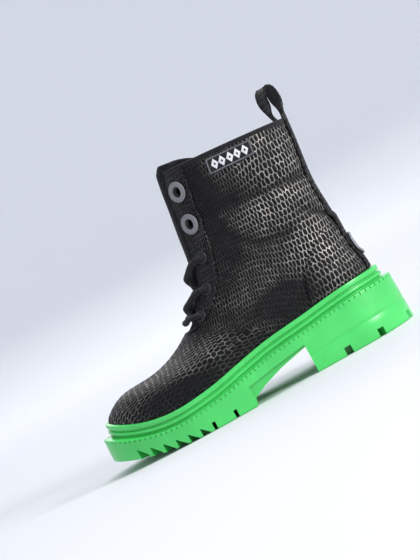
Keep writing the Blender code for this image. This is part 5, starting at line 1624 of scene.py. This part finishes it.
def strandLine(side, high, low, lift):
    # up through one eyelet, over the tongue and in under the other facing a step lower
    edgeHigh, edgeLow = float(throatEdge(high)), float(throatEdge(low))
    stops = (
        (side, edgeHigh + 0.0106, high, -0.0030),
        (side, edgeHigh + 0.0102, high, over * 0.62),
        (side, edgeHigh + 0.0070, high * 0.985 + low * 0.015, over * 1.05),
        (side, edgeHigh, high * 0.86 + low * 0.14, over * 0.99),
        (side, edgeHigh * 0.45, high * 0.66 + low * 0.34, crest * 1.12 + lift * 0.7),
        (side, 0.0, (high + low) / 2, crest + lift),
        (-side, edgeLow * 0.45, high * 0.34 + low * 0.66, crest * 0.9 + lift * 0.5),
        (-side, edgeLow - laceSizes["diameter"] * 0.6, high * 0.16 + low * 0.84, crest * 0.30),
        (-side, edgeLow + 0.0030, high * 0.08 + low * 0.92, -0.0030),
    )
    return [laceStop(*stop) for stop in stops]


def buildLaces():
    e3, e4, e5 = [spot[1] for spot in eyeletSpots[1]][2:5]
    reach = float(throatEdge(e5)) + 0.0102
    bar = [(1, 1.03, -0.0030), (1, 1.0, over * 0.62), (1, 0.86, over), (1, 0.58, over),
           (1, 0.28, crest * 1.05), (1, 0.0, crest)]
    bar += [(-s, share, off) for s, share, off in bar[-2::-1]]
    stops = [laceStop(s, reach * share, e5, off) for s, share, off in bar]
    mesh = braidMesh("cord_bar", smoothLine(stops, 200))
    finishMesh("cord_bar", mesh, "lace", "lace_bar", sharp=180)
    crossings = (("cord_cross_low", e4, e5, "lace_cross_low"), ("cord_cross_high", e3, e4, "lace_cross_high"))
    for name, high, low, stands in crossings:
        for side, lift in ((1, 0.0020), (-1, -0.0016)):
            piece = name + ("_over" if side > 0 else "_under")
            mesh = braidMesh(piece, smoothLine(strandLine(side, high, low, lift), 230))
            finishMesh(piece, mesh, "lace", stands, sharp=180)


buildLaces()
print("laces made")


# Label and badge
labelSizes = dict(length=0.034, height=0.0125, at=0.52, thick=0.0008, edge=0.0011, lozenges=5,
                  lozenge=(0.0054, 0.0078, 0.0005), low=0.16, pitch=0.0019)


def buildLabel():
    z = labelSizes
    rows, columns = 26, 70
    sideAt = z["at"] * markAt(collarLevel, 1, 5)
    rise = z["height"] / last["upperHeight"] / 0.205
    a, t = np.meshgrid(np.linspace(-0.5, 0.5, columns), np.linspace(0, 1, rows))
    level = collarLevel - z["low"] - rise * (1 - t)
    column = columnAt(sideAt + a * z["length"], level, 1)
    toEdge = np.minimum((0.5 - np.abs(a)) * z["length"], np.minimum(t, 1 - t) * z["height"])
    thick = z["thick"] * (0.5 + 0.5 * pillow(toEdge, 0.0006))
    edging = (toEdge > 0.0004) & (toEdge < 0.0004 + z["edge"])
    outer = onForm(column, level, layerGap * 0.5 + thick + 0.00018 * edging)
    inner = onForm(column, level, layerGap * 0.3)
    uv = np.stack([a * z["length"], t * z["height"]], axis=-1)
    mesh = wallMesh("side_patch", outer, inner, uv, innerKind=0)
    centre = (toEdge[:-1, :-1] + toEdge[1:, 1:]) / 2
    kinds = np.zeros(len(mesh.polygons), np.int32)
    ring = ((centre > 0.0004) & (centre < 0.0004 + z["edge"])).ravel()
    kinds[:len(ring)] = ring
    mesh.polygons.foreach_set("material_index", kinds)
    finishMesh("side_patch", mesh, "label labelEdge", "side_label")
    # a plain row of lozenges in pale thread
    places, ups, alongs = [], [], []
    for n in range(z["lozenges"]):
        share = (n - (z["lozenges"] - 1) / 2) * 0.165
        lv = collarLevel - z["low"] - rise * 0.5
        col = float(columnAt(sideAt + share * z["length"], lv, 1))
        place = formFrame(col, lv, layerGap * 0.5 + z["thick"] + 0.00008)
        places.append(place.translation)
        ups.append(place.to_3x3().col[2])
        alongs.append(place.to_3x3().col[0])
    shape = bmesh.new()
    outline = [(1, 0), (0, 1), (-1, 0), (0, -1)]
    hole = 0.30
    steps = ((1.0, -0.5), (0.97, 0.3), (0.88, 0.5), (hole + 0.1, 0.5), (hole, 0.3), (hole, -0.5))
    loops = [[shape.verts.new((0.5 * f * x, 0.5 * f * y, height)) for x, y in outline] for f, height in steps]
    bridge(shape, loops + loops[:1])
    lozenge = templateObject("lozenge", shape)
    mesh = repeated("patch_lozenges", lozenge, places, ups, alongs, z["lozenge"], "labelPale")
    finishMesh("patch_lozenges", mesh, "labelPale")


buildLabel()

badgeSizes = dict(radius=0.0095, thick=0.0015, height=0.0195)


def buildBadge():
    b = badgeSizes
    seat = counterGap + counterSizes["thick"] + 1.6 * gap + stripSizes["thick"] + layerGap * 0.2
    top = b["thick"] + layerGap * 0.8
    radii = np.array([0.0, 0.25, 0.5, 0.66, 0.72, 0.76, 0.80, 0.86, 0.92, 0.97, 1.0, 1.0, 0.985])
    heights = np.array([0.62, 0.62, 0.61, 0.60, 0.62, 0.86, 1.0, 1.02, 0.98, 0.82, 0.55, 0.15, 0.0]) * top
    steps = 56
    points = []
    for radius, height in zip(radii[1:], heights[1:]):
        angle = np.linspace(0, 2 * math.pi, steps, endpoint=False)
        column = backColumn(b["radius"] * radius * np.cos(angle), 1.5)
        rise = b["height"] + b["radius"] * radius * np.sin(angle)
        level = levelAtHeight(np.full(steps, 24.0), rise)
        points.append(onForm(column, level, seat + height))
    middle = onForm(24.0, float(levelAtHeight(24.0, b["height"])[0]), seat + heights[0]).reshape(1, 3)
    base = onForm(24.0, float(levelAtHeight(24.0, b["height"])[0]), seat).reshape(1, 3)
    rows = len(points)
    verts = np.concatenate([np.concatenate(points), middle, base])
    faces = gridQuads(rows, steps, closed=True).tolist()
    foot, end = (rows - 1) * steps, rows * steps
    faces += [(end, n, (n + 1) % steps) for n in range(steps)]
    faces += [(end + 1, foot + (n + 1) % steps, foot + n) for n in range(steps)]
    mesh = turnedOut(rawMesh("badge_disc", verts, faces))
    kinds = np.zeros(len(mesh.polygons), np.int32)
    kinds[3 * steps:9 * steps] = 1
    mesh.polygons.foreach_set("material_index", kinds)
    finishMesh("badge_disc", mesh, "badge badgeRing", "heel_badge", sharp=60)


buildBadge()
print("label and badge made")

# Zip
zipSizes = dict(tapeWidth=0.026, tapeThick=0.0008, chainWidth=0.0056, chainThick=0.0017, pitch=0.00135,
                slider=(0.0080, 0.0115, 0.0024), drop=0.0190, bridge=0.0007, pull=(0.0185, 0.0064, 0.0014),
                clear=0.0004)
sliderColumn = -15.0
tapeAt = -(last["wall"] + layerGap + gap)
chainAt = tapeAt + gap + zipSizes["chainThick"]


def zipCentre(level):
    return markAt(level, -1, 2) + last["zipSlit"] / 2


def buildTape():
    z = zipSizes
    half = z["tapeWidth"] / 2
    reach, level = np.meshgrid(np.linspace(half, -half, 31), np.linspace(1.25, 8.93, 130))
    column = columnAt(zipCentre(level) + reach, level, -1)
    ribs = 0.00008 * np.cos(reach / 0.00043) ** 2
    outer = onForm(column, level, tapeAt + ribs)
    inner = onForm(column, level, tapeAt - z["tapeThick"])
    run = runAlong(outer[:, 15])
    uv = np.stack([reach, np.broadcast_to(run[:, None], reach.shape)], axis=-1)
    mesh = wallMesh("zip_webbing", outer, inner, uv, innerKind=0)
    finishMesh("zip_webbing", mesh, "tape", "zip_tape")


def zipLine():
    # a column and a level for every tooth
    levels = np.linspace(zipBottom + 0.07, 8.93, 400)
    run = runAlong(onForm(columnAt(zipCentre(levels), levels, -1), levels))
    level = np.interp(np.arange(0, run[-1], zipSizes["pitch"]), run, levels)
    return columnAt(zipCentre(level), level, -1), level


def buildTeeth():
    z = zipSizes
    column, level = zipLine()
    base = onForm(column, level, chainAt - z["chainThick"] * 0.45)
    out = formNormal(column, level)
    up = np.gradient(base, axis=0)
    up /= np.linalg.norm(up, axis=1)[:, None]
    across = np.cross(up, out)
    left = np.arange(len(base)) % 2 == 0
    shift = np.where(left, 1.0, -1.0)[:, None] * across * z["chainWidth"] * 0.17
    size = (z["chainWidth"] * 0.64, z["pitch"] * 0.72, z["chainThick"] * 0.9)
    bars = repeated("zip_teeth", boxTemplate("tooth", 0.16), base + shift, out, across, size, "zipMetal")
    # the cords at the tape's edges that the teeth are moulded on
    meshes = [bars]
    for sign in (1, -1):
        column = columnAt(zipCentre(level) + sign * z["chainWidth"] * 0.5, level, -1)
        line = onForm(column, level, chainAt - z["chainThick"] * 0.62)
        ring = [(0.00045 * math.cos(a), 0.00045 * math.sin(a)) for a in np.linspace(0, 2 * math.pi, 9)[:-1]]
        meshes.append(ribbonMesh("zipCord", (line, across, out), ring))
    mesh = joinedMesh("zip_teeth", meshes)
    finishMesh("zip_teeth", mesh, "zipMetal", "zip_chain", sharp=50)


def sliderFrame():
    # the solids' hinge lies on the unworn form, and the slider stays with it
    level = float(levelAtHeight(sliderColumn, last["upperHeight"] - zipSizes["drop"])[0])
    shift = float(worn(form(sliderColumn, level))[0])
    return formFrame(sliderColumn, level, 0.0) @ Matrix.Translation((0, 0, -shift))


def hanging(place):
    across = place.to_3x3().col[0]
    up = (Vector((0, 0, 1)) - across * across.z).normalized()
    turn = Matrix((across, up, across.cross(up))).transposed().to_4x4()
    return Matrix.Translation(place.translation) @ turn


def roundedBlock(shape, low, high, place, bevel, taper):
    size, middle = Vector(high) - Vector(low), (Vector(high) + Vector(low)) / 2
    made = bmesh.ops.create_cube(shape, size=1.0)["verts"]
    for v in made:
        narrow = taper if v.co.y < 0 else 1.0
        v.co = Vector((v.co.x * size.x * narrow, v.co.y * size.y, v.co.z * size.z)) + middle
    edges = list({e for v in made for e in v.link_edges})
    done = bmesh.ops.bevel(shape, geom=edges, offset=bevel, segments=3, affect="EDGES", profile=0.5)
    verts = set(v for f in done["faces"] for v in f.verts) | {v for v in made if v.is_valid}
    for v in verts:
        v.co = place @ v.co


def buildSlider():
    z = zipSizes
    place = sliderFrame()
    wide, long, thick = z["slider"]
    seat = chainAt + 2 * gap
    top = seat + thick
    shape = bmesh.new()
    ear, bridge = 0.0012, top + 0.0023
    blocks = [((-wide / 2, -long / 2, seat + thick * 0.55), (wide / 2, long / 2, top), 0.0006, 0.78),
              ((-wide / 2, -long / 2, seat - 0.0014), (wide / 2, long / 2, seat - 0.0004), 0.0004, 0.78),
              ((-0.0011, long * 0.12, seat - 0.0010), (0.0011, long / 2 - 0.0003, seat + thick * 0.7),
               0.0003, 1.0)]
    for x in (wide / 2, -wide / 2):
        blocks.append(((x - 0.0006, -long * 0.30, seat - 0.0009),
                       (x + 0.0001, long * 0.42, seat + thick * 0.75), 0.00025, 1.0))
    for x in (-0.0030, 0.0030):
        blocks.append(((x - ear / 2, 0.0004, top - 0.0008),
                       (x + ear / 2, 0.0041, bridge + 0.0012), 0.00045, 1.0))
    for low, high, bevel, taper in blocks:
        roundedBlock(shape, low, high, place, bevel, taper)
    pin = place @ Matrix.Translation((0, 0.0022, bridge)) @ Matrix.Rotation(math.pi / 2, 4, "Y")
    bmesh.ops.create_cone(shape, cap_ends=True, segments=20, radius1=z["bridge"], radius2=z["bridge"],
                          depth=0.0064, matrix=pin)
    finishMesh("zip_runner", shapeMesh("zip_runner", shape), "zipMetal", "zip_slider", sharp=45)
    return hanging(place @ Matrix.Translation((0, 0.0022, bridge)))


def buildPull(axis):
    long, wide, thick = zipSizes["pull"]
    eye = zipSizes["bridge"] + zipSizes["clear"]
    neck = 0.0036
    # outline and window of the tab, walked round together
    corners = [(-neck / 2, -0.0034), (-wide / 2, -0.0058), (-wide / 2, -long)]
    corners = [(neck / 2, 0.0010), (-neck / 2, 0.0010)] + corners + [(-x, y) for x, y in corners[::-1]]
    outline = softened(corners, 0.0014, 5, True)
    corners = [(0.0016, -0.0075), (-0.0016, -0.0075), (-0.0016, -0.0160), (0.0016, -0.0160)]
    window = softened(corners, 0.0007, 5, True)
    angleOut = np.unwrap(np.arctan2(outline[:, 1] + 0.0117, outline[:, 0]))
    angleIn = np.unwrap(np.arctan2(window[:, 1] + 0.0117, window[:, 0]))
    angleIn += 2 * math.pi * np.round((angleOut[0] - angleIn[0]) / (2 * math.pi))
    order = np.argsort(angleIn)
    loop = np.concatenate([order, order, order])
    angles = np.concatenate([angleIn[order] - 2 * math.pi, angleIn[order], angleIn[order] + 2 * math.pi])
    inside = np.stack([np.interp(angleOut, angles, window[loop, k]) for k in (0, 1)], axis=1)
    half, soft = thick / 2, 0.0003
    layers = []
    centre = np.array([0.0, -0.0117])

    def inset(line, distance):
        ahead = np.roll(line, -1, axis=0) - np.roll(line, 1, axis=0)
        ahead /= np.linalg.norm(ahead, axis=1)[:, None] + 1e-12
        out = np.stack([ahead[:, 1], -ahead[:, 0]], axis=1)
        if ((line - centre) * out).sum() < 0:
            out = -out
        return line + out * distance

    steps = [(outline, -soft, half), (outline, 0.0, half - soft), (outline, 0.0, -half + soft),
             (outline, -soft, -half), (inside, soft, -half), (inside, 0.0, -half + soft),
             (inside, 0.0, half - soft), (inside, soft, half)]
    for line, distance, height in steps:
        flat = inset(line, distance) if distance else line
        layers.append(np.stack([flat[:, 0], flat[:, 1], np.full(len(flat), height)], axis=1))
    points = np.stack(layers, axis=1)
    turn = np.array(axis)
    tab = ringMesh("tab", points @ turn[:3, :3].T + turn[:3, 3])
    ringPlace = axis @ Matrix.Rotation(math.pi / 2, 4, "Y")
    half = neck / 2
    profile = [(eye, half), (eye, -half), (eye + 0.0003, -half - 0.0001), (eye + 0.0008, -half + 0.0003),
               (eye + 0.0008, half - 0.0003), (eye + 0.0003, half + 0.0001)]
    ring = lathe("eye", profile, ringPlace, 24)
    mesh = turnedOut(joinedMesh("zip_tab", [tab, ring]), 1e-7)
    finishMesh("zip_tab", mesh, "zipMetal", "zip_pull", body="pull", sharp=45)


buildTape()
buildTeeth()
buildPull(buildSlider())
print("zip made")

# Stitching
stitchLook = dict(length=0.0023, pitch=0.0029, thick=0.00046)
rowsOfStitches = []


def addStitches(line, outAt, pitch=None):
    # a row of stitches along a line of points, each with its own outward direction
    run = runAlong(line)
    number = max(2, int(run[-1] / (pitch or stitchLook["pitch"])))
    at = (np.arange(number) + 0.5) * run[-1] / number

    def read(values, where):
        return np.stack([np.interp(where, run, column) for column in values.T], axis=1)

    ahead = read(line, at + 0.0004) - read(line, at - 0.0004)
    rowsOfStitches.append((read(line, at), read(outAt, at), ahead))


def stitchOnForm(column, level, offset, pitch=None):
    column, level = np.broadcast_arrays(column, level)
    addStitches(onForm(column, level, offset), formNormal(column, level), pitch)


def buildStitches():
    f = facingSizes
    seat = layerGap * 0.6 + f["thick"] + 0.00005
    for side in (1, -1):
        level = np.linspace(f["foot"] + 0.03, f["top"] - 0.05, 90)
        low, high = facingEdges(level)
        stitchOnForm(columnAt(low + 0.0018, level, side), level, seat)
        for inset in (0.0018, 0.0038):
            stitchOnForm(columnAt(high - inset, level, side), level, seat)
        level = np.linspace(0.95, 4.88, 70)
        for inset in (0.0016, 0.0036):
            column = columnAt(seamDistance(level, side) - inset, level, side)
            stitchOnForm(column, level, skin["vampLift"] + 0.00005)
    level = np.full(120, collarLevel - 0.165)
    outer = columnAt(np.linspace(float(throatEdge(9)) + 0.020, markAt(9, 1, 5) - 0.013, 120), level, 1)
    stitchOnForm(outer, level, 0.00005)
    for low, high in ((throatEdge(9) + 0.020, markAt(9, -1, 2) - 0.002),
                      (markAt(9, -1, 3) + 0.002, markAt(9, -1, 5) - 0.013)):
        stitchOnForm(columnAt(np.linspace(low, high, 50), level[:50], -1), level[:50], 0.00005)
    level = np.linspace(zipBottom + 0.02, 8.85, 90)
    for mark, sign in ((2, -1), (3, 1)):
        stitchOnForm(columnAt(markAt(level, -1, mark) + sign * 0.0019, level, -1), level, 0.00005)
    foot = np.full(8, zipBottom - 0.12)
    low, high = markAt(foot[0], -1, 2) - 0.0015, markAt(foot[0], -1, 3) + 0.0015
    stitchOnForm(columnAt(np.linspace(low, high, 8), foot, -1), foot, 0.00005)
    for inset in (0.0017, 0.0037):
        reach = np.sin(np.linspace(1, -1, 140) * math.pi / 2) * (1 - inset / counterSizes["reach"])
        rise = np.maximum(counterTop(reach) - inset, 0.0012)
        column = np.array(backColumn(reach * counterSizes["reach"], 1.5))
        keep = (np.abs(reach) * counterSizes["reach"] > 0.0125)
        for chosen in (keep & (reach > 0), keep & (reach < 0)):
            level = levelAtHeight(column[chosen], rise[chosen])
            stitchOnForm(column[chosen], level, counterGap + counterSizes["thick"] + 0.00005)
    for n in (2, 24):
        lift = stripGrid[:, n] + stripNormal[:, n] * (stripSizes["thick"] + 0.00002)
        addStitches(lift, stripNormal[:, n])
    z = labelSizes
    sideAt = z["at"] * markAt(collarLevel, 1, 5)
    rise = z["height"] / last["upperHeight"] / 0.205
    start, offset = collarLevel - z["low"], layerGap * 0.5 + z["thick"]
    for share in (0.055, 0.945):
        level = np.full(30, start - rise * (1 - share))
        column = columnAt(sideAt + np.linspace(-0.48, 0.48, 30) * z["length"], level, 1)
        stitchOnForm(column, level, offset, z["pitch"])
    for share in (-0.48, 0.48):
        level = start - rise * np.linspace(0.06, 0.94, 12)
        stitchOnForm(columnAt(sideAt + share * z["length"], level, 1), level, offset, z["pitch"])
    place, out, ahead = (np.concatenate([row[k] for row in rowsOfStitches]) for k in range(3))
    size = (stitchLook["length"], stitchLook["thick"], stitchLook["thick"])
    mesh = repeated("stitching", stitchShape, place, out, ahead, size, "thread", 0.06, 7)
    finishMesh("stitching", mesh, "thread", sharp=180)
    print("stitches", len(place))


buildStitches()


# Stage, light and camera
stageLook = dict(radius=3.4, wall=2.9, curve=1.7, floor=(0.72, 0.73, 0.755), back=(0.90, 0.915, 0.95))


def buildStage():
    # a round sweep: flat floor, then a wide curve up into the backdrop
    rows = [(0.0, 0.0), (0.4, 0.0), (1.2, 0.0), (stageLook["radius"] - stageLook["curve"], 0.0)]
    for a in np.linspace(0, math.pi / 2, 15)[1:]:
        inward, up = stageLook["curve"] * (1 - math.sin(a)), stageLook["curve"] * (1 - math.cos(a))
        rows.append((stageLook["radius"] - inward, up))
    rows.append((stageLook["radius"], stageLook["wall"]))
    steps = 96
    angle = np.linspace(0, 2 * math.pi, steps, endpoint=False)
    around = np.cos(angle), np.sin(angle)
    points = [np.stack([r * around[0], r * around[1], np.full(steps, z)], axis=1) for r, z in rows[1:]]
    points = np.concatenate([np.zeros((1, 3))] + points) - np.array([0, 0, 0.0001])
    faces = [(0, 1 + n, 1 + (n + 1) % steps) for n in range(steps)]
    faces += (1 + gridQuads(len(rows) - 1, steps, closed=True)[:, [0, 3, 2, 1]]).tolist()
    mesh = rawMesh("studio_sweep", points, faces)
    f = Finish("sweep_paper", stageLook["floor"], 0.9, Specular_IOR_Level=0.1)
    x, y = f.split(f.objectPoint())
    far = f.math("SQRT", f.math("ADD", f.times(x, x), f.times(y, y)))
    colour = f.mix(f.ramp(far, 0.15, 2.9), stageLook["floor"], stageLook["back"])
    mesh.materials.append(f.feed(Base_Color=colour))
    mesh.shade_smooth()
    linked("studio_sweep", mesh)


buildStage()

lights = [  # name, place, aim, size, watts
    ("overhead", (-0.55, 0.25, 1.9), (0.03, 0.0, 0.05), 1.3, 22.0),
    ("heel_side", (-1.5, 1.20, 0.80), (0.0, 0.0, 0.08), 0.7, 27.0),
    ("toe_fill", (1.6, 1.6, 0.9), (0.08, 0.0, 0.05), 1.2, 3.0),
    ("back_fill", (0.2, -1.7, 1.1), (0.05, 0.0, 0.08), 1.4, 9.0),
]
for name, place, aim, size, watts in lights:
    data = bpy.data.lights.new(name, "AREA")
    data.shape, data.size, data.energy = "DISK", size, watts
    data.color = (1.0, 0.99, 0.98)
    lamp = linked(name, data)
    lamp.location = place
    lamp.rotation_euler = (Vector(aim) - Vector(place)).to_track_quat("-Z", "Y").to_euler()

world = bpy.data.worlds.new("soft_room")
world.use_nodes = True
world.node_tree.nodes["Background"].inputs[0].default_value = (0.80, 0.85, 0.95, 1)
world.node_tree.nodes["Background"].inputs[1].default_value = 0.55
bpy.context.scene.world = world
bpy.context.scene.view_settings.view_transform = "Standard"
bpy.context.scene.view_settings.look = "None"

# The photograph's viewing angle: side on, a little above, and turned so that the toe points down to the left.
viewSizes = dict(away=1.5, round=1.0, above=4.0, roll=0.5, tilt=29.5, scale=1.45, pivot=(0.0, 0.030, 0.030),
                 aim=(0.0745, 0.0, 0.0905))


def buildCamera():
    v = viewSizes
    a, e = math.radians(v["round"]), math.radians(v["above"])
    back = Vector((math.sin(a) * math.cos(e), math.cos(a) * math.cos(e), math.sin(e)))
    place = Vector(v["pivot"]) + back * v["away"]
    look = (place - Vector(v["aim"])).normalized()
    right = Vector((-math.cos(a), math.sin(a), 0))
    right = (right - look * (right @ look)).normalized()
    up = look.cross(right)
    turn = math.radians(v["tilt"] - v["roll"])
    rightTurned = right * math.cos(turn) - up * math.sin(turn)
    upTurned = up * math.cos(turn) + right * math.sin(turn)
    data = bpy.data.cameras.new("camera")
    data.sensor_width = 36.0
    data.lens = 36.0 * v["scale"] * v["away"] * 1000 / 560
    data.clip_start, data.clip_end = 0.05, 50
    camera = linked("camera", data)
    frameTurn = Matrix((rightTurned, upTurned, look)).transposed().to_4x4()
    camera.matrix_world = Matrix.Translation(place) @ frameTurn
    bpy.context.scene.camera = camera


buildCamera()
print("stage, lights and camera made")
